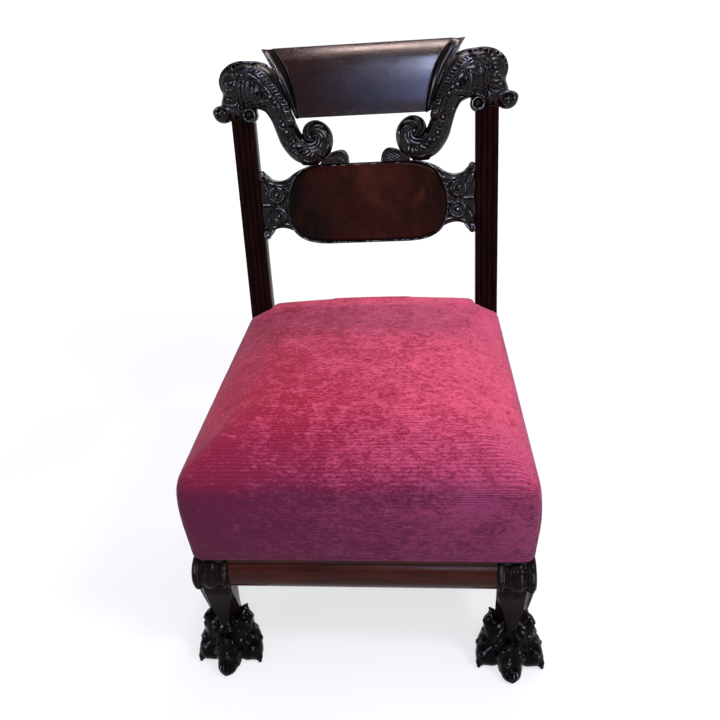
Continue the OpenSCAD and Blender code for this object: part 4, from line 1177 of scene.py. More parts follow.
@dataclass
class BackPost:
    """A reeded back post with its rear leg.

    Attributes:
        reeds: Number of reeds across the front.
        groove: Depth of the grooves between reeds.
        corner: Radius of the rear corners.
        top: Level where the reeds end.
    """

    reeds: int = 4
    groove: float = 2.7
    corner: float = 3.0
    top: float = 736.0

    def spine(self) -> tuple[Array, Array]:
        """Y and Z of the post's front and of its back, from the foot to the top."""
        leg = np.linspace(0, 1, 22)
        front = [bend(((196, 0), (148, 85), (148, 150)), leg)]
        back = [bend(((234, 0), (193, 80), (193, 150)), leg)]
        for count, f0, f1, b0, b1 in (
            (8, (148, 150), (148, 262), (193, 150), (193, 262)), (12, (148, 262), (176, 407), (193, 262), (211, 407)),
        ):
            t = np.linspace(0, 1, count)[1:, None]
            front.append(mix(np.array(f0, float), np.array(f1, float), t))
            back.append(mix(np.array(b0, float), np.array(b1, float), t))
        rise = np.concatenate([np.linspace(0, lift(self.top - 5), 40)[1:], lift(np.linspace(self.top - 4, 738, 9))])
        edge = on_back(np.zeros(len(rise)), np.zeros(len(rise)), rise)[:, 1:]
        depth = np.interp(rise, [0, 60, rise[-1]], [34.5, 32, 28])
        far = on_back(np.zeros(len(rise)), depth, rise)[:, 1:]
        return np.vstack([*front, edge]), np.vstack([*back, far])

    def outline(self) -> tuple[Array, Array, Array]:
        """The post's section: X, the share of the groove's depth, and the place from front to back."""
        width = (POST_OUT - POST_IN) / self.reeds
        across = np.linspace(-1, 1, 13)
        arc = (1 - np.sqrt(1 - 0.97 * across**2)) / (1 - sqrt(0.03))
        x = np.concatenate([POST_IN + width * (k + 0.5 + across[:-1] / 2) for k in range(self.reeds)] + [[POST_OUT]])
        groove = np.concatenate([arc[:-1]] * self.reeds + [[1]])
        turn = np.linspace(0, pi / 2, 5)
        inset = self.corner * (1 - np.cos(turn))
        rear = np.concatenate([POST_OUT - inset, POST_IN + inset[::-1]])
        groove = np.concatenate([groove, np.zeros(2 * len(turn) + 2)])
        return np.concatenate([x, [POST_OUT], rear, [POST_IN]]), groove, turn

    def build(self, side: Side) -> Piece:
        """Lofts the section along the spine; the reeds fade out into the leg and under the mouth."""
        front, back = self.spine()
        x, groove, turn = self.outline()
        level = front[:, 1]
        depth = self.groove * ease((level - 285) / 40) * (1 - 0.85 * ease((level - self.top + 5) / 7))
        size = np.linalg.norm(back - front, axis=1)[:, None]
        sine = self.corner * np.sin(turn)
        rear = np.concatenate([sine - self.corner, (sine - self.corner)[::-1]])
        flat = len(x) - len(rear) - 2
        place = np.zeros((len(front), len(x)))
        place[:, :flat] = depth[:, None] * groove[None, :flat]
        place[:, flat] = place[:, -1] = 0.5 * size[:, 0]
        place[:, flat + 1:-1] = size + rear[None, :]
        share = (place / size)[..., None]
        points = front[:, None] + (back - front)[:, None] * share
        rings = spread(x[None, :], points[..., 0], points[..., 1])
        obj = closed_grid(f"{side.word}_reeded_post", mirrored(rings, side))
        sharpen(obj, 45)
        return obj


def outline_distance(outline: Array, x: Array, z: Array) -> Array:
    """Signed distance in a plane to a closed outline, negative inside.

    The distance is the least one to any edge; a point is inside where a line from it
    crosses the outline an odd number of times.
    """
    best = np.full(np.broadcast(x, z).shape, 1e9)
    crossings = np.zeros(best.shape, int)
    for a, b in zip(outline, np.roll(outline, -1, axis=0)):
        e = b - a
        t = np.clip(((x - a[0]) * e[0] + (z - a[1]) * e[1]) / max(e @ e, 1e-9), 0, 1)
        best = np.minimum(best, np.hypot(x - a[0] - t * e[0], z - a[1] - t * e[1]))
        if a[1] != b[1]:
            crossings += ((a[1] <= z) != (b[1] <= z)) & (x < a[0] + (z - a[1]) * e[0] / e[1])
    return np.where(crossings % 2 == 1, -best, best)


def whole(half: Array) -> Array:
    """A closed outline from its right-hand half, given from the bottom up."""
    return np.vstack([half, half[::-1] * np.array([-1, 1])])


@dataclass
class CrossRail:
    """The shaped cross rail with its carved ends, its oval panel and the leaf scrolls.

    Attributes:
        front: Depth of the rail's face behind the fronts of the posts.
        thick: Thickness of the rail.
        rosettes: Places of the right-hand rosettes, across and level.
        rail_runs: Bends of the right-hand half of the rail's outline, from the bottom up.
        panel_runs: The same of the panel's outline.
    """

    front: float = 2.0
    thick: float = 20.0
    rosettes: Rows = ((160, 607.5), (158.5, 571.5))
    rail_runs: tuple[Rows, ...] = (
        ((84, 522.6), (104, 522.6), (122, 535.5)), ((122, 535.5), (150, 556), (170, 546)),
        ((170, 546), (174, 533), (POST_IN - 0.1, 531.5)), ((POST_IN - 0.1, 647), (178, 645.5), (170, 634)),
        ((170, 634), (150, 625), (132, 639.5)), ((132, 639.5), (112, 654.5), (80, 655)),
    )
    panel_runs: tuple[Rows, ...] = (
        ((70, 524.5), (122, 524.5), (133, 553)), ((133, 553), (145, 588), (130, 620)),
        ((130, 620), (118, 653), (70, 653.5)),
    )

    def half_outline(self, runs: Sequence[Rows], count: int) -> Array:
        """Right-hand half of an outline: bends from the bottom up, in across and rise."""
        path = np.vstack([bend(r, np.linspace(0, 1, count)) for r in runs])
        return spread(path[:, 0], lift(path[:, 1]))

    def carved_end(self, block: Carving, side: Side) -> None:
        """Carves one end: rosettes, the curls beside the post, and the leaf between them."""
        s = side.value

        def limb(points: Table, radius: float | Array, height: float, blend: float) -> None:
            """Lays a limb on the rail's face."""
            p = np.asarray(points, float)
            block.add_limb(spread(s * p[:, 0], self.front - height, lift(p[:, 1]), radius), blend)

        def lump(x: float, depth: float, z: float, radii: Point, blend: float, cut: bool = False) -> None:
            """Adds or cuts a ball at a depth behind the rail's face."""
            block.add_ball((s * x, self.front + depth, lift(z)), radii, blend, cut)

        turn = np.linspace(0, 1, 24)
        for k, (x, z) in enumerate(self.rosettes):
            lump(x, 1, z, (15.5, 6.5, 15.5), 1.5)
            limb(arc((x, z), 12.6, np.linspace(0, TURN, 26)), 2.3, 3.2, 0.8)
            lump(x, -7.5, z, (9.6, 5, 9.6), 1, True)
            limb(arc((x, z), mix(9.5, 2, turn), (1 - 2 * k) * (0.6 + TURN * 1.4 * turn)), mix(2, 1.5, turn), 3.2, 0.5)
            lump(x, -4.2, z, (3.2, 3, 3.2), 0.5)
            for bead in arc((x, z), 15.2, TURN * np.arange(9) / 9 + 0.2):
                lump(float(bead[0]), -1.4, float(bead[1]), (2.5, 2.2, 2.5), 0.6)
        # curls that grow up and down the post
        turn = np.linspace(0, 1, 20)
        for level, way in ((641, 1), (537.5, -1)):
            lump(184.2, 6, level, (6.8, 10, 8.5), 1.5)
            angle = radians(-100 * way) + way * TURN * 1.25 * turn
            curl = spread(183.4 + mix(5.6, 0.8, turn) * np.cos(angle), level + mix(7.2, 1, turn) * np.sin(angle))
            limb(curl, mix(2, 1.3, turn), 3.4, 0.5)
            lump(183.4, -3.8, level, (2.2, 2.6, 2.2), 0.4)
        # a waisted leaf between the rosettes and the post, and the edge fillets
        for z0, z1, lean in ((589.5, 590.5, 0), (600, 628, 1), (579, 551, -1)):
            path = bend(((172, z0), (181, mix(z0, z1, 0.4)), (184.5, z1)), np.linspace(0, 1, 10))
            limb(path, np.linspace(1.6, 3.4, 10), 1, 0.8)
            limb(path + (-3.4, 3.0 * lean + 1.5), np.linspace(1, 1.7, 10), 1.6, 0.4)
        for run in (((136, 553), (152, 561), (171, 551)), ((134, 627), (152, 619.5), (171, 628.5)),
                    ((173, 545), (176, 538), (184, 535)), ((173, 633), (177, 640), (184, 643))):
            limb(bend(run, np.linspace(0, 1, 12)), 1.7, 1, 0.5)
        for t in np.arange(6) / 5:
            x, z = 142 + 3.0 * sin(pi * t), mix(566, 614, t)
            way = 1 if z > 590 else -1
            path = bend(((x - 3, z), (x + 3, z + 2 * way), (x + 4.5, z + 8 * way)), np.linspace(0, 1, 5))
            limb(path, np.linspace(2, 1, 5), 0.4, 0.4)

    def rail(self) -> Piece:
        """Carves the rail: its outline's distance, met by the two faces with eased edges."""
        block = Carving((-195, -8, lift(517)), (195, self.front + self.thick + 3, lift(657)), 1.15 * COARSE)
        x, d, s = np.ix_(*block.axes)
        flat = outline_distance(whole(self.half_outline(self.rail_runs, 12)), x[:, 0], s[0])[:, None, :]
        slab = np.abs(d - self.front - self.thick / 2) - self.thick / 2
        block.distance = np.minimum(block.distance, -blended_min(-flat - 0 * d, -slab + 0 * x, 2.6)).astype(np.float32)
        rim = outline_distance(self.panel_outline(), x[:, 0], s[0])[:, None, :] - 3.6
        block.distance = blended_min(block.distance, np.hypot(rim, d - self.front + 0.2) - 1.9, 0.5).astype(np.float32)
        for side in Side:
            self.carved_end(block, side)
        block.within(np.abs(x) - POST_IN + 0.1)
        points, quads = block.surface()
        return make_object("cross_rail_carved", on_back(*points.T), quads)

    def panel_outline(self) -> Array:
        """The panel's outline in across and rise; a point where two runs meet is given once."""
        half = self.half_outline(self.panel_runs, 24)
        return whole(np.delete(half, (23, 47), axis=0))

    def panel(self) -> Piece:
        """Makes the panel: rings shrinking to its middle, its face gently domed with a canted edge."""
        edge = self.panel_outline()
        middle = edge.mean(0)
        inner = np.linspace(0.93, 0.04, 20)
        shares = np.concatenate([[1, 1, 0.992, 0.975, 0.955], inner])[:, None]
        depths = np.concatenate([[1.95, 0.6, -0.3, -1.1, -1.35], -1.4 - 0.9 * (1 - inner**2)])[:, None]
        x, s = ((middle + (edge - middle) * shares[..., None])[..., k] for k in (0, 1))
        rings = on_back(x, depths, s)
        obj = closed_grid("oval_panel", rings)
        sharpen(obj, 50)
        return obj

    def leaf_scroll(self, side: Side) -> Piece:
        """Carves a leaf scroll: a roll that runs up to the tail, its flank netted with cuts."""
        block = Carving((22, -5, lift(653.5)), (80, 28, lift(681)), 0.8 * COARSE)
        x, d, s = np.ix_(*block.axes)
        edge = np.array([(28, 655.2), (28.3, 660), (29, 664), (30, 668), (31.5, 671.5), (34, 675), (37, 677.2),
                         (41.5, 678.2), (46.5, 677.8), (56, 675.5), (64, 672), (76, 664), (79, 655.2)])
        edge[:, 1] = lift(edge[:, 1])
        flat = outline_distance(edge, x[:, 0], s[0])[:, None, :]
        block.distance = -blended_min(-flat - 0 * d, -(np.abs(d - 11.6) - 12) - 0 * x, 3).astype(np.float32)
        # the net of cuts on its flank, inside a rolled edge
        u = np.linspace(0, 1, 7)
        for k in range(-6, 16):
            for way in (-1, 1):
                rows = spread(mix(33, 62, u), -0.4, lift(655.0 + 4.6 * k + way * 17.0 * (u - 0.5)), 0.85)
                block.add_limb(rows[outline_distance(edge, rows[:, 0], rows[:, 2]) < -4.2], 0.3, cut=True)
        rim = smooth_path(edge[:-1], 40)
        rim += ((50, lift(660)) - rim) * 0.09
        block.add_limb(spread(rim[:, 0], 0.4, rim[:, 1], 2.3), 0.5)
        rim = rim[6:32]
        for depth in 4.5 + 3.4 * np.arange(6):
            block.add_limb(spread(rim[:, 0] + (rim[:, 0] - 50) * 0.09, depth, rim[:, 1] + 1.6, 0.8), 0.3, cut=True)
        # room for the tail
        for across, level, radius in ((88.5, 695.8, 35.8), (76, 683, 18), (86, 677, 19.6), (97, 661, 17.4)):
            block.within(radius - np.hypot(x - across, s - lift(level)))
        points, quads = block.surface()
        name = f"{side.word}_leaf_scroll_carved"
        return make_object(name, mirrored(on_back(*points.T), side), quads[:, ::side.value])


# ---- Front: the moulding between two turned drums, and the legs under them


@dataclass
class FrontRail:
    """The half-round moulding on the front rail.

    Attributes:
        low: Level of its lower edge.
        high: Level of its upper edge.
        face: Y of the rail's face behind it.
        rise: How far it stands out.
        half: Half its length.
    """

    low: float = 152.0
    high: float = 206.0
    face: float = -267.0
    rise: float = 18.0
    half: float = 199.9

    def moulding(self) -> Piece:
        """Carries an arc of a circle, of the moulding's height and rise, along X."""
        tall = (self.high - self.low) / 2
        radius = (tall * tall + self.rise**2) / (2 * self.rise)
        turn = np.linspace(-1, 1, 41) * asin(tall / radius)
        y = np.concatenate([self.face - self.rise + radius - radius * np.cos(turn), np.full(5, self.face)])
        z = np.concatenate([self.low + tall + radius * np.sin(turn), np.linspace(self.high, self.low, 7)[1:-1]])
        x = np.linspace(-self.half, self.half, 61)
        rings = spread(x[:, None], y[None, :], z[None, :])
        obj = closed_grid("half_round_moulding", rings)
        sharpen(obj, 40)
        return obj


@dataclass
class FrontLeg:
    """A front leg: a ringed drum, a shaft with a tapering front facet, and a lion's paw.

    Attributes:
        middle: X of the leg's middle.
        drum: Y and level of the drum's axis.
        radius: Radius of the drum's rings; not used.
        shaft: Rows of level, reach in, reach out, facet in, facet out, front and back.
        root: Y of the paw's upright axis.
        step: Grid spacing of the paw's carving.
    """

    middle: float = 223.0
    drum: tuple[float, float] = (-261, 178)
    radius: float = 31.0
    shaft: Rows = (
        (166, 24, 33, 23, 20, -285, -237), (150, 24, 32.5, 21.5, 18.5, -285, -238),
        (135, 24, 30, 18.5, 18, -282.5, -239.5), (120, 23.8, 26.6, 14.5, 17, -280.5, -240.5),
        (105, 23.6, 24, 11, 14, -279.5, -242), (92, 23.3, 22.8, 8, 11.5, -279.5, -242),
        (80, 23.3, 23.3, 5.5, 9.5, -280, -241), (70, 24, 25, 3.8, 8, -281.5, -240),
        (60, 25, 27.5, 2.5, 6.5, -283, -238), (50, 26, 29, 1.5, 5, -284, -237),
    )
    root: float = -262.0
    step: float = 0.95

    def turned_drum(self) -> Array:
        """Rings of the drum: half-round rings and hollows turned about an axis along X.

        The radius along a ring or hollow is its own level plus or less a half ellipse.
        """
        parts = [(0, 9.4, 26.8, 4.2), (9.4, 11, 26.8, 0), (11, 18.6, 27.4, -1.6), (18.6, 20.2, 28, 0),
                 (20.2, 36.8, 28.6, 2.4), (36.8, 38.2, 28, 0), (38.2, 45, 27.4, -1.6), (45, 46.4, 26.8, 0),
                 (46.4, 54.4, 26.8, 4.2), (54.4, 55.8, 26.2, 0)]
        x, r = [np.array([0])], [np.array([24])]
        for first, last, level, crown in parts:
            share = np.linspace(0, 1, 15)
            x.append(mix(first, last, share))
            r.append(level + crown * np.sqrt(np.maximum(1 - (2 * share - 1) ** 2, 0)))
        x.append(np.array([56, 56, 54.6, 54.4]))
        r.append(np.array([25, 19.5, 18.4, 8]))
        x, r = np.concatenate(x) + 200, np.concatenate(r)
        turn = np.linspace(0, TURN, 88, endpoint=False)
        y = self.drum[0] + r[:, None] * np.cos(turn)
        z = self.drum[1] + r[:, None] * np.sin(turn)
        return spread(x[:, None], y, z)

    def cut_shaft(self) -> Array:
        """Rings of the shaft: a front facet, hollow chamfers beside it, straight sides and small rear chamfers."""
        rows = smooth_path(self.shaft, 60)
        z, inner, outer, f_in, f_out, front, back = rows.T
        share = np.linspace(0, 1, 9)[None, :]

        def chamfer(facet: Array, side: Array) -> tuple[Array, Array]:
            """X beside the middle and Y of a hollow chamfer from the facet to the side."""
            width = (side - facet)[:, None]
            x = facet[:, None] + width * share
            deep = np.minimum(width * 0.95, 17) * share
            hollow = 0.09 * width * np.sin(pi * share)
            return x - hollow, front[:, None] + deep + hollow

        ox, oy = chamfer(f_out, outer)
        ix, iy = chamfer(f_in, inner)
        flat = np.linspace(-1, 1, 7)[None, 1:-1]
        fx = np.where(flat < 0, flat * f_in[:, None], flat * f_out[:, None])
        fy = front[:, None] - 0.8 * (1 - flat**2)
        side = np.linspace(0, 1, 5)[None, 1:]
        sx = np.repeat(outer[:, None], 4, axis=1)
        sy = mix(oy[:, -1:], back[:, None] - 6, side)
        bx = np.stack([outer - 6, -inner + 6], axis=1)
        by = np.repeat(back[:, None], 2, axis=1)
        tx = -inner[:, None] + 3.5 * (1 - np.linspace(0, 1, 5)[None, :-1])
        ty = mix(back[:, None] - 6, iy[:, -1:], np.linspace(0, 1, 5)[None, :-1])
        x = np.concatenate([fx, ox, sx, bx, tx, -ix[:, ::-1]], axis=1) + self.middle
        y = np.concatenate([fy, oy, sy, by, ty, iy[:, ::-1]], axis=1)
        return spread(x, y, z[:, None])

    def stump(self) -> Array:
        """Rings of the square block that carries the rails behind the drum."""
        x = np.array([200, 204, 240, 244, 244, 240, 204, 200], float)
        y = np.array([-268, -272, -272, -268, -240, -236, -236, -240], float)
        return spread(x, y, np.array([[152], [262]]))

    def paw(self) -> tuple[Array, Array]:
        """Carves the paw: three blunt toes with short claws, side lobes, tufts and scales of hair.

        Returns:
            Points in millimetres, and quads.
        """
        m = self.middle
        block = Carving((m - 58, -328, -6), (m + 58, -226, 104), self.step * COARSE)
        for x, y, z, rx, ry, rz, soft in (
            (0, -262, 44, 33, 27, 42, 2), (-22, -264, 58, 19, 20, 27, 6), (20, -264, 58, 19, 20, 27, 6),
            (-33, -268, 30, 17, 19, 24, 7), (31, -268, 30, 17, 19, 24, 7), (0, -284, 30, 25, 21, 24, 8),
            (-27, -264, 74, 14, 14, 13, 5), (23, -264, 76, 14, 14, 13, 5), (-28, -278, 14, 18, 17, 17, 5),
            (27, -278, 14, 18, 17, 17, 5), (-41, -279, 18, 12, 16, 20, 5), (39, -279, 18, 12, 16, 20, 5),
        ):
            block.add_ball((m + x, y, z), (rx, ry, rz), soft)
        # the middle toe: knuckle, pad and claw
        block.add_limb([(m, -288, 47, 14), (m - 0.5, -292, 24, 19.5)], 3)
        block.add_ball((m - 0.5, -292, 24), (19.5, 19.5 * 1.02, 19.5), 2)
        block.add_limb([(m - 1, -296, 16, 18.5), (m, -306.75, 11, 0.84 * 18.5), (m + 1, -317.5, 5, 4.4)], 2)
        block.add_ball((m - 1, -298, 10), (19, 12.5, 14), 3)
        for s in (-1, 1):
            block.add_limb([(m + s * 43, -284, 16, 9), (m + s * 46.5, -288, 9, 6), (m + s * 48.5, -291.5, 3.5, 3)], 2)
            block.add_limb([(m + s * 13, -294, 64, 2.2), (m + s * 18, -302, 44, 3.2), (m + s * 21.5, -302, 22, 3.6),
                            (m + s * 23, -299, 4, 4)], 2, cut=True)
            block.add_limb([(m + s * 5.5, -316, 28, 1.4), (m + s * 6, -319, 14, 1.8), (m + s * 4, -321, 6, 1.4)], 1,
                           cut=True)
        self.hair(block)
        # the foot ends on the floor
        block.within(-block.axes[2])
        return block.surface()

    def hair(self, block: Carving) -> None:
        """Carves rows of tufts over the foot, found by walking in from all sides to its skin."""
        m = self.middle
        rng = np.random.default_rng(7)
        for row, (level, count) in enumerate(((86, 8), (73, 9), (60, 9), (48, 9), (36, 9))):
            for k in range(count):
                share = (k - (count - 1) / 2 + 0.5 * (row % 2)) / count
                around = -pi / 2 + share * 4.2 + rng.uniform(-0.05, 0.05)
                rows = []
                for i, (drop, size) in enumerate(((8, 1.4), (2, 3.4), (-3, 5), (-8, 4.4), (-13, 1.8))):
                    z = level + drop + rng.uniform(-1, 1)
                    a = around + 0.03 * i * copysign(1, around + pi / 2)
                    reach = self.skin(block, a, z)
                    if reach is not None:
                        sunk = reach - 2.0 - 2.0 * abs(share)
                        rows.append((m + sunk * cos(a), self.root + sunk * sin(a), z, size))
                if len(rows) > 2:
                    block.add_limb(rows, 0.3)
        # small tufts that stand up beside the shaft
        for s, lean, height in ((-1, 30, 92), (1, 27, 88)):
            for j in range(3):
                y = -268 + 9 * j
                block.add_limb([(m + s * 20, y, 72, 6.5), (m + s * (lean - 4), y, 80, 4.8),
                                (m + s * lean, y + 1, height - 3 * j, 2.2)], 1.5)

    def skin(self, block: Carving, angle: float, level: float) -> float | None:
        """Distance from the foot's axis to its skin in a direction at a level, walking inwards."""
        steps = np.arange(56, 10, -0.7)
        x, y = self.middle + steps * cos(angle), self.root + steps * sin(angle)
        index = [np.clip(np.round((v - a[0]) / block.step).astype(int), 0, len(a) - 1)
                 for v, a in zip((x, y), block.axes)]
        k = int(round((level - float(block.axes[2][0])) / block.step))
        hit = np.flatnonzero(block.distance[index[0], index[1], k] < 0)
        return float(steps[hit[0]]) if len(hit) else None


# ---- Seat


@dataclass
class Seat:
    """The stuffed seat: cover cloth, stuffing, burlap, twine, springs, webbing and dust cover.

    Attributes:
        edge: Level of the cover's lower edge.
        front: Y of the cover's front.
        corner: Radius of its front corners in plan.
        cloth: Thickness of the cover.
        swell: Most that a point of the cover may move outwards in the simulation.
        sink: Most that it may move inwards.
        pressure: Pressure in the simulation.
        frames: Number of frames that are simulated.
        voxel: Size of the mesh that is simulated.
        rear_rise: How much higher the shoulder runs between the posts.
        middle: The seat's middle in plan.
        strap_x: Places of the straps from front to back.
        strap_y: Places of those from side to side.
    """

    edge: float = 216.0
    front: float = -283.0
    corner: float = 20.0
    cloth: float = 2.5
    swell: float = 3.0
    sink: float = 1.0
    pressure: float = 4.0
    frames: int = 20
    voxel: float = 6.0
    rear_rise: float = 23.0
    middle: tuple[float, float] = (0, -45)
    strap_x: tuple[float, ...] = (-95, 0, 95)
    strap_y: tuple[float, ...] = (-150, -45, 60)

    def half(self, y: Number) -> Number:
        """Half width of the cover at a distance back."""
        return mix(259.5, 233, (y + 261) / 437)

    def shoulder(self, x: Array, y: Array) -> Array:
        """Level of the shoulder at a place: it climbs to the rear, where it stays full between the posts."""
        across = np.abs(x)
        full = self.rear_rise * (1 - ease((across - 183) / 48))
        full -= 7.0 * (np.minimum(across, 188) / 188) ** 2 * ease((y - 178) / 20)
        return mix(345, 384, (y + 261) / 437) + full * ease((y - 110) / 60)

    def outline(self, level: float, grow: float) -> Array:
        """The cover's plan at a level: straight sides, round front corners, and notches round the posts.

        Args:
            level: Height above the floor.
            grow: Distance by which the plan is larger than the plain one.

        Returns:
            Points once round, evenly spaced.
        """
        front = self.front - grow
        turn_y, half = front + self.corner, self.half(front + self.corner) + grow
        knee = mix(148, 176, float(np.clip((level - 262) / 145, 0, 1))) - 1.2
        inner, back = POST_IN - 1.2, min(205, 188.0 + max(0, level - self.edge) * 0.22) + grow / 2
        turn = np.linspace(-pi / 2, 0, 9)
        right = np.array([
            (0, front), *arc((half - self.corner, turn_y), self.corner, turn), (self.half(knee - 14) + grow, knee - 14),
            (self.half(knee - 3) + grow, knee - 3), (POST_OUT + 1, knee), (inner, knee), (inner, back - 5),
            (inner - 14, back), (inner * 0.5, back + 3), (0, back + 4)])
        path = np.vstack([right, right[-2:0:-1] * (-1, 1), right[:1]])
        run = np.concatenate([[0], np.cumsum(np.linalg.norm(np.diff(path, axis=0), axis=1))])
        at = np.linspace(0, run[-1], 260, endpoint=False)
        return spread(np.interp(at, run, path[:, 0]), np.interp(at, run, path[:, 1]))

    def crown(self, x: Array, y: Array, share: float) -> Array:
        """Height of the top at a place, at a share of the way out to the plan.

        The crown stands over the shoulder by (1 - share^3.2)^0.55 of what is between them.
        """
        low = self.shoulder(x, y)
        crown = 422 - 10 * ((y + 10) / 200) ** 2
        return mix(low, np.maximum(crown, low + 4), (1 - share**3.2) ** 0.55)

    def rings(self, low: float, inset: float) -> Array:
        """Rings from the lower edge up the sides and over the top, drawn in by an inset."""
        middle = np.array(self.middle)
        made = []
        for share, bulge in ((0, -3.5), (0.12, -2.2), (0.3, -0.6), (0.5, 0.6), (0.68, 1), (0.84, 0.4), (0.94, -0.6),
                             (1, -2)):
            plan = self.outline(300, bulge)
            level = mix(low, self.shoulder(plan[:, 0], plan[:, 1]) - inset, share)
            plan = np.array([self.outline(float(z), bulge)[i] for i, z in enumerate(level)]) if share > 0.5 else plan
            away = plan - middle
            plan = middle + away * (1 - inset / np.linalg.norm(away, axis=1, keepdims=True))
            made.append(np.column_stack([plan, level]))
        edge = made[-1]
        for share in (0.992, 0.975, 0.95, 0.92, 0.88, 0.82, 0.74, 0.64, 0.52, 0.38, 0.24, 0.1):
            plan = middle + (edge[:, :2] - middle) * share
            made.append(np.column_stack([plan, self.crown(plan[:, 0], plan[:, 1], share) - inset]))
        return np.stack(made)

    def cover(self) -> Piece:
        """Makes the cover: the full form swollen by cloth simulation, opened below and given its thickness."""
        form = closed_grid("seat_cover_form", self.rings(self.edge - 8, 1))
        remesh = form.modifiers.new("remesh", "REMESH")
        remesh.mode, remesh.voxel_size = "VOXEL", self.voxel * MM * COARSE
        mesh = bpy.data.meshes.new_from_object(form.evaluated_get(bpy.context.evaluated_depsgraph_get()))
        bpy.data.objects.remove(form)
        obj = linked("seat_cover_velvet", mesh)
        mesh.name = obj.name
        self.inflate(obj)
        self.open_below(obj)
        self.mark_ribs(obj.data)
        obj.data.polygons.foreach_set("use_smooth", np.ones(len(obj.data.polygons), bool))
        smooth = obj.modifiers.new("smoothing", "SUBSURF")
        smooth.levels = smooth.render_levels = 1
        return thicken(obj, self.cloth, -1)

    def mark_ribs(self, mesh: bpy.types.Mesh) -> None:
        """Stores how far the cloth has run from the front shoulder: back over the top, or down the front."""
        points = self.coordinates(mesh) / MM
        normals = np.empty(len(points) * 3, np.float32)
        mesh.vertices.foreach_get("normal", normals)
        facing = ease((-normals.reshape(-1, 3)[:, 1] - 0.25) / 0.5)
        x, y, z = points.T
        run = y - self.front + facing * np.minimum(z - self.shoulder(x, y) - 8, 0)
        mesh.attributes.new("rib_run", "FLOAT", "POINT").data.foreach_set("value", (run * MM).astype(np.float32))

    def coordinates(self, mesh: bpy.types.Mesh) -> Array:
        """A mesh's points in metres."""
        points = np.empty(len(mesh.vertices) * 3, np.float32)
        mesh.vertices.foreach_get("co", points)
        return points.reshape(-1, 3).astype(float)

    def inflate(self, obj: Piece) -> None:
        """Swells the form by cloth simulation with its lower edge held, each point's movement capped."""
        rest = self.coordinates(obj.data)
        held = obj.vertex_groups.new(name="held")
        low = np.flatnonzero(rest[:, 2] < (self.edge + 10) * MM)
        held.add([int(i) for i in low], 1, "REPLACE")
        cloth = obj.modifiers.new("pressure", "CLOTH")
        cloth.settings.use_pressure = True
        cloth.settings.uniform_pressure_force = self.pressure
        cloth.settings.effector_weights.gravity = 0.0
        cloth.settings.quality = 4
        cloth.settings.vertex_group_mass = "held"
        cloth.point_cache.frame_start, cloth.point_cache.frame_end = 1, self.frames
        scene = bpy.context.scene
        for step in range(1, self.frames + 1):
            scene.frame_set(step)
        swollen = bpy.data.meshes.new_from_object(obj.evaluated_get(bpy.context.evaluated_depsgraph_get()))
        moved = self.coordinates(swollen) - rest
        bpy.data.meshes.remove(swollen)
        obj.modifiers.clear()
        scene.frame_set(1)
        normals = np.empty(len(rest) * 3, np.float32)
        obj.data.vertices.foreach_get("normal", normals)
        inwards = np.einsum("ij,ij->i", moved, normals.reshape(-1, 3)) < 0
        size = np.linalg.norm(moved, axis=1)
        cap = np.where(inwards, self.sink, self.swell) * MM
        moved *= np.minimum(1, cap / np.maximum(size, 1e-9))[:, None]
        obj.data.vertices.foreach_set("co", (rest + moved).astype(np.float32).ravel())
        obj.data.update()

    def open_below(self, obj: Piece) -> None:
        """Takes off what lies under the lower edge, and levels the edge that is left."""
        work = bmesh.new()
        work.from_mesh(obj.data)
        bmesh.ops.bisect_plane(work, geom=[*work.verts, *work.edges, *work.faces], plane_co=(0, 0, self.edge * MM),
                               plane_no=(0, 0, -1), clear_outer=True)
        work.to_mesh(obj.data)
        work.free()
        obj.data.update()

    def stuffing(self) -> Piece:
        """Makes the stuffing: the cover's form drawn in, over the dome of the burlap."""
        over = self.rings(267, self.cloth + 3.5)
        dome = self.dome(2.2)
        obj = closed_grid("seat_stuffing_pad", np.concatenate([dome, over]))
        sharpen(obj, 60)
        return obj

    def dome(self, above: float) -> Array:
        """Rings of the burlap's form: flat over the springs, sloping down to the rails."""
        middle = np.array(self.middle)
        plan = self.outline(262, 0) - middle
        shares = np.array([0.06, 0.2, 0.36, 0.52, 0.66, 0.74, 0.80, 0.86, 0.92])
        level = 293.3 - 31.0 * ease((shares - 0.70) / 0.24) + above
        return np.stack([np.column_stack([middle + plan * s, np.full(len(plan), z)]) for s, z in zip(shares, level)])

    def burlap(self) -> Piece:
        """Makes the burlap, stretched over the springs and down to the rails."""
        rings = self.dome(0)
        count, around = rings.shape[:2]
        points = np.vstack([rings.reshape(-1, 3), rings[0].mean(0)])
        j = np.arange(around)
        fan = np.stack([np.full(around, count * around), j, (j + 1) % around], axis=1)
        quads = grid_faces(count, around, wrap=True)[:, ::-1]
        return thicken(make_object("seat_burlap_sheet", points, quads, fan), 1, 1)

    def springs(self) -> Piece:
        """Makes the springs: waisted coils whose radius grows with the square of the way from the waist."""
        t = np.linspace(0, 1, 5 * 20 + 1)
        coil = np.column_stack([arc((0, 0), 28 + 10 * (2 * t - 1) ** 2, 10 * pi * t), mix(156.2, 286, t)])
        places = ((-95, -150), (95, -150), (0, -45), (-95, 60), (95, 60))
        return closed_grid("coil_springs", *(tube(coil + (x, y, 0), 1.9, 8) for x, y in places))

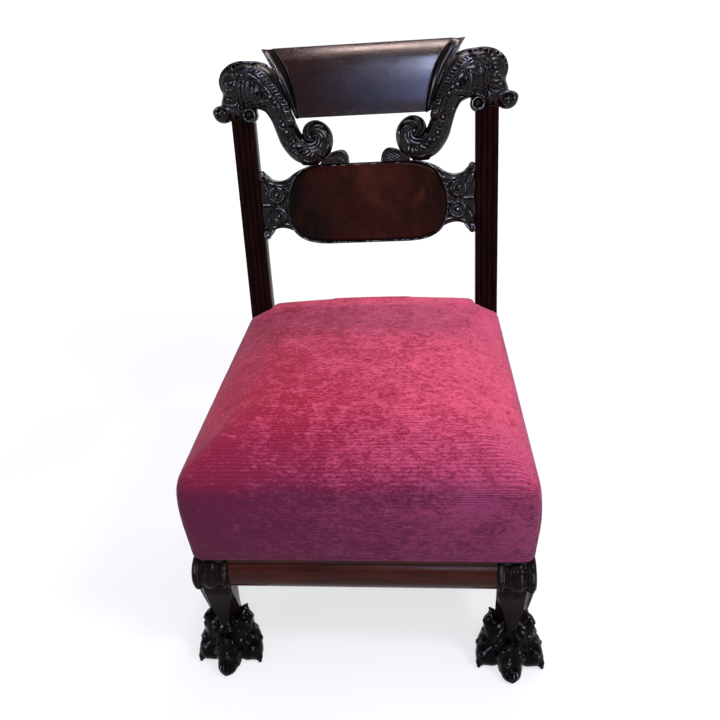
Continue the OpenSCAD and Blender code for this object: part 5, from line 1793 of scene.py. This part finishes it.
    def twine(self) -> Piece:
        """Makes the lashing twine, laid over the springs and down to the rails both ways."""
        low, high, rail = 289.1, 291.5, 263.2
        paths = [((x, -249, rail), (x, -241, rail + 3), (x, -190, low), (x, -45, low), (x, 100, low),
                  (x, 155, rail + 3), (x, 163, rail)) for x in self.strap_x]
        for y in self.strap_y:
            end = self.half(y) - 25.0
            paths.append(((-end, y, rail), (8 - end, y, rail + 2), (-135, y, high), (0, y, high), (135, y, high),
                          (end - 8, y, rail + 2), (end, y, rail)))
        run = np.linspace(0, 6, 70)
        fine = [spread(*(np.interp(run, np.arange(7), column) for column in zip(*path))) for path in paths]
        return closed_grid("spring_lashing", *(tube(path, 1.1, 7) for path in fine))

    def strap(self, path: Array, across: Array) -> Array:
        """Rings of a strap of webbing 50 mm wide and 1.6 mm thick along a path."""
        width = np.array([-25, -25, -24.2, 24.2, 25, 25, 24.2, -24.2])
        thick = np.array([-0.4, 0.4, 0.8, 0.8, 0.4, -0.4, -0.8, -0.8])
        up = np.array([0, 0, 1])
        return path[:, None] + width[None, :, None] * across + thick[None, :, None] * up

    def webbing(self) -> tuple[Piece, Piece]:
        """Makes the straps front to back, and those side to side that weave over and under them."""
        level = 151.1
        y = np.linspace(-264, 176, 45)
        along = [self.strap(spread(x, y, level), np.array([1, 0, 0])) for x in self.strap_x]
        across = []
        for place, first in zip(self.strap_y, (1, -1, 1)):
            end = self.half(place) - 12.0
            keys = np.array([-end, -146, -128, -62, -33, 33, 62, 128, 146, end])
            rise = np.array([0, 0, 1, 1, -1, -1, 1, 1, 0, 0]) * first * 1.8
            x = np.linspace(-end, end, 121)
            across.append(self.strap(spread(x, place, level + np.interp(x, keys, rise)), np.array([0, 1, 0])))
        return closed_grid("webbing_long_straps", *along), closed_grid("webbing_cross_straps", *across)

    def dust_cover(self) -> Piece:
        """Makes the dust cover: a sheet under the rails that sags a little between the tacks."""
        y = np.linspace(-263, 178, 64)
        rail = self.half(y) - 13.0
        half = np.where(y < -232, 196, np.where(y < 144, rail, POST_IN - 3))
        across = np.linspace(-1, 1, 64)
        sag = 2.2 * np.sin(pi * (y + 263) / 441)[:, None] * np.cos(pi / 2 * across)
        points = spread(across * half[:, None], y[:, None], 147.3 - sag).reshape(-1, 3)
        return thicken(make_object("dust_cover_sheet", points, grid_faces(64, 64)), 0.6, 0)


# ---- Studio


@dataclass
class Studio:
    """A pale floor and plain soft light.

    Attributes:
        size: Half the width of the floor, in metres.
        glow: Strength of the world.
        near: What the floor adds by the chair, for the eye and in reflections, so that it shows white.
        far: The same where the floor turns up into the backdrop.
        key: Power of the lamp in front and to the right.
        top: Power of the cool lamp overhead, which the crest mirrors.
        strip: Power of the narrow blue lamp ahead of it, which the crest's lower face mirrors.
        window: Power of the small cool lamp over the camera, which glints on carving.
        rear: Power of the warm strip above and behind, which the crest's roll mirrors.
        fill: Power of the lamp on the left.
    """

    size: float = 12.0
    glow: float = 0.3
    near: float = 0.67
    far: float = 0.92
    key: float = 22.0
    top: float = 22.0
    strip: float = 18.0
    window: float = 15.0
    rear: float = 28.0
    fill: float = 3.0

    def floor(self) -> None:
        """Makes the floor: white to the camera where no shadow falls."""
        edge = self.size * 1000
        turn = np.linspace(0, pi / 2, 24)
        y = np.concatenate([np.linspace(-edge, 3500, 30), 3500 + 3000 * np.sin(turn[1:]), np.full(2, 6500)])
        z = np.concatenate([np.zeros(30), 3000 - 3000 * np.cos(turn[1:]), [3800, 4800]]) - 0.4
        x = np.concatenate([[-edge, -11500, -10800], np.linspace(-10000, 10000, 9), [10800, 11500, edge]])
        # a low wall closes the view at the sides and in front
        low = 1.5 * np.maximum(np.maximum(np.abs(x)[None, :], -y[:, None]) - 10000, 0)
        points = spread(x[None, :], y[:, None], z[:, None] + low).reshape(-1, 3)
        obj = make_object("studio_floor", points, grid_faces(len(y), len(x)))
        p = Paint("studio_floor")
        tone = p.blend(p.ramp(p.noise(p.place(), 3, 2), 0.3, 0.7), (0.35, 0.35, 0.35), (0.37, 0.37, 0.37))
        away = p.node("VectorMath", {"operation": "LENGTH"}, i0=p.place()).outputs["Value"]
        lift = p.ramp(away, 0.8, 2.6, self.near, self.far)
        path = p.node("LightPath").outputs
        seen = p.sum(path["Is Camera Ray"], path["Is Glossy Ray"], "MAXIMUM")
        seen = p.sum(seen, path["Is Transmission Ray"], "MAXIMUM")
        # the walls give back the light of the world that they hide
        level = p.node("SeparateXYZ", Vector=p.place()).outputs[2]
        hidden = p.times(p.sum(1, seen, "SUBTRACT"), p.ramp(level, 0.1, 0.5, 0, 0.2))
        p.finish(Base_Color=tone, Roughness=0.9, Specular_IOR_Level=0.1, Emission_Color=(1, 1, 1),
                 Emission_Strength=p.sum(p.times(seen, lift), hidden))
        obj.data.materials.append(p.material)

    def world(self) -> None:
        """Sets the world: an even pale grey all round."""
        world = bpy.data.worlds.new("studio_world")
        bpy.context.scene.world = world
        world.use_nodes = True
        back = next(n for n in world.node_tree.nodes if n.type == "BACKGROUND")
        back.inputs["Color"].default_value = (1, 1, 1, 1)
        back.inputs["Strength"].default_value = self.glow

    def lamp(self, name: str, place: Point, target: Point, size: Sequence[float], power: float, colour: Point) -> None:
        """Adds an area lamp at a place in metres that faces a target."""
        data = bpy.data.lights.new(name, "AREA")
        data.shape, data.energy, data.color = "RECTANGLE", power, colour
        data.size, data.size_y = size
        aim = (Vector(target) - Vector(place)).to_track_quat("-Z", "Y").to_matrix().to_4x4()
        linked(name, data).matrix_world = Matrix.Translation(place) @ aim

    def build(self) -> None:
        """Sets the floor, the world, the lamps and the plain view transform."""
        bpy.context.scene.view_settings.view_transform = "Standard"
        self.floor()
        self.world()
        self.lamp("key_light", (1.35, -0.85, 2.2), (0, 0, 0.45), (0.42, 0.42), self.key, (0.97, 0.97, 1))
        self.lamp("top_light", (0.2, 0.1, 3.1), (0.2, 0.1, 0.45), (0.25, 0.9), self.top, (0.6, 0.67, 1))
        self.lamp("strip_light", (0.12, -1.25, 3.1), (0.12, -1.25, 0.45), (0.16, 1.75), self.strip, (0.42, 0.52, 1))
        self.lamp("window_light", (0.35, -2, 1.95), (0, 0, 0.5), (0.45, 0.35), self.window, (0.78, 0.84, 1))
        self.lamp("rear_light", (0.28, 1.35, 2.75), (0.15, 0.2, 0.6), (1.3, 0.34), self.rear, (1, 0.76, 0.72))
        self.lamp("fill_light", (-1.6, -1.3, 1.3), (0, 0, 0.4), (1.2, 1.2), self.fill, (1, 0.96, 0.92))


@dataclass
class Viewpoint:
    """The photograph's camera, as fitted to it.

    Attributes:
        place: Place of the lens in metres.
        yaw: Turn about Z, in degrees.
        pitch: Tilt down, in degrees.
        roll: Turn about the line of sight, in degrees.
        lens: Focal length for a sensor 36 mm wide.
    """

    place: Point = (0.119903, -1.066315, 1.028683)
    yaw: float = 6.8939
    pitch: float = 30.6869
    roll: float = -4.5630
    lens: float = 37.6146

    def build(self) -> None:
        """Adds the camera: its axes are the view's right, its up, and back along the view."""
        yaw, pitch, roll = (radians(a) for a in (self.yaw, self.pitch, self.roll))
        ahead = np.array([-sin(yaw) * cos(pitch), cos(yaw) * cos(pitch), -sin(pitch)])
        right = np.array([cos(yaw), sin(yaw), 0])
        up = np.cross(right, ahead)
        across = cos(roll) * right + sin(roll) * up
        upward = -sin(roll) * right + cos(roll) * up
        data = bpy.data.cameras.new("photo_camera")
        data.sensor_width, data.lens, data.clip_start = 36, self.lens, 0.05
        obj = linked("photo_camera", data)
        axes = np.eye(4)
        axes[:3, 0], axes[:3, 1], axes[:3, 2], axes[:3, 3] = across, upward, -ahead, self.place
        obj.matrix_world = Matrix(axes.tolist())
        bpy.context.scene.camera = obj


# ---- Putting the chair together


class Workshop:
    """Keeps the finishes and puts each piece in its place on the frame."""

    def __init__(self) -> None:
        """Builds every finish once."""
        self.finishes = {slot: finish.build() for slot, finish in FINISHES.items()}

    def place(self, obj: Piece, slot: str, *nodes: str, finish: str = "") -> Piece:
        """Dresses a piece, rides it on the frame, and names the nodes it stands for.

        Args:
            obj: The piece.
            slot: The record's material slot.
            *nodes: CAD nodes that it replaces.
            finish: The finish, where it isn't the slot's own.

        Returns:
            The piece.
        """
        obj.data.materials.clear()
        obj.data.materials.append(self.finishes[finish or slot])
        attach(obj, "root")
        if nodes:
            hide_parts(*nodes)
        LOG.info("%s: %d faces, %s, for %s", obj.name, len(obj.data.polygons), slot, ", ".join(nodes) or "no node")
        return obj

    def keep(self, node: str, slot: str) -> None:
        """Dresses a CAD node that is shown as it is; rails and dowels that show are stained."""
        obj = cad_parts[node]
        obj.data.materials.clear()
        obj.data.materials.append(self.finishes["stained_wood" if node in STAINED else slot])
        LOG.info("%s: kept, %s", node, slot)


def pair(name: str, points: Array, quads: Array) -> dict[Side, Piece]:
    """Makes a right-hand piece, with quads facing outwards, and its mirror image on the left."""
    return {side: make_object(f"{side.word}_{name}", mirrored(points, side), quads[:, ::side.value]) for side in Side}


def back(shop: Workshop) -> None:
    """Builds the posts, the crest, the dolphins and the cross rail."""
    crest, post, cross = Crest(), BackPost(), CrossRail()
    board = shop.place(crest.rail(), "crest_mahogany", "crest_rail")
    sharpen(board)
    bevel(board, 0.8)
    for side in Side:
        word = side.word
        hollow = shop.place(crest.end(side), "mahogany", f"{word}_crest_end", finish="carved_mahogany")
        sharpen(hollow)
        shop.place(crest.studs(side), "mahogany", finish="carved_mahogany")
        shop.place(post.build(side), "mahogany", f"{word}_back_post")
        shop.place(cross.leaf_scroll(side), "carved_mahogany", f"{word}_leaf_scroll")
    for side, obj in pair("carved_dolphin", *Dolphin().carve()).items():
        shop.place(obj, "carved_mahogany", f"{side.word}_dolphin")
    shop.place(cross.rail(), "carved_mahogany", "cross_rail")
    shop.place(cross.panel(), "panel_veneer", "cross_rail_panel")


def front(shop: Workshop) -> None:
    """Builds the moulding and the front legs."""
    shop.place(FrontRail().moulding(), "red_mahogany", "front_rail_moulding")
    leg = FrontLeg()
    drum, shaft, stump = leg.turned_drum(), leg.cut_shaft(), leg.stump()
    for side in Side:
        for name, rings, crease in (("turned_drum", drum, 32), ("cut_shaft", shaft, 26), ("leg_block", stump, 30)):
            obj = shop.place(closed_grid(f"{side.word}_{name}", mirrored(rings, side)), "carved_mahogany",
                             f"{side.word}_front_leg", finish="leg_mahogany")
            sharpen(obj, crease)
    for side, obj in pair("carved_paw", *leg.paw()).items():
        shop.place(obj, "carved_mahogany", f"{side.word}_front_leg", finish="paw_mahogany")


def seat(shop: Workshop) -> None:
    """Builds the seat from the dust cover up."""
    made = Seat()
    cover = shop.place(made.cover(), "seat_velvet", "seat_cover")
    pad = shop.place(made.stuffing(), "stuffing", "seat_stuffing")
    burlap = shop.place(made.burlap(), "jute", "seat_burlap")
    shop.place(made.springs(), "steel", "seat_springs")
    shop.place(made.twine(), "twine", "spring_twine")
    along, across = made.webbing()
    shop.place(along, "jute", "webbing_front_to_back")
    shop.place(across, "jute", "webbing_side_to_side")
    dust = shop.place(made.dust_cover(), "cambric", "dust_cover")


KEPT = {
    "front_rail": "red_mahogany",
    **dict.fromkeys(("left_side_rail", "right_side_rail", "rear_rail", "front_left_corner_block",
                     "front_right_corner_block", "rear_left_corner_block", "rear_right_corner_block"), "plain_wood"),
    "corner_block_screws": "steel",
    **dict.fromkeys(("rail_dowels", "crest_dowels", "dolphin_dowels"), "plain_wood"),
    "dust_cover_tacks": "steel",
}
STAINED = ("crest_dowels", "dolphin_dowels", "left_side_rail", "right_side_rail", "rear_rail")


def main() -> None:
    """Builds the chair, the studio and the camera."""
    logging.basicConfig(level=logging.INFO, format="%(name)s: %(message)s")
    Viewpoint().build()
    shop = Workshop()
    back(shop)
    front(shop)
    seat(shop)
    for node, slot in KEPT.items():
        shop.keep(node, slot)
    Studio().build()
    bpy.context.view_layer.update()


if __name__ == "__main__":
    main()
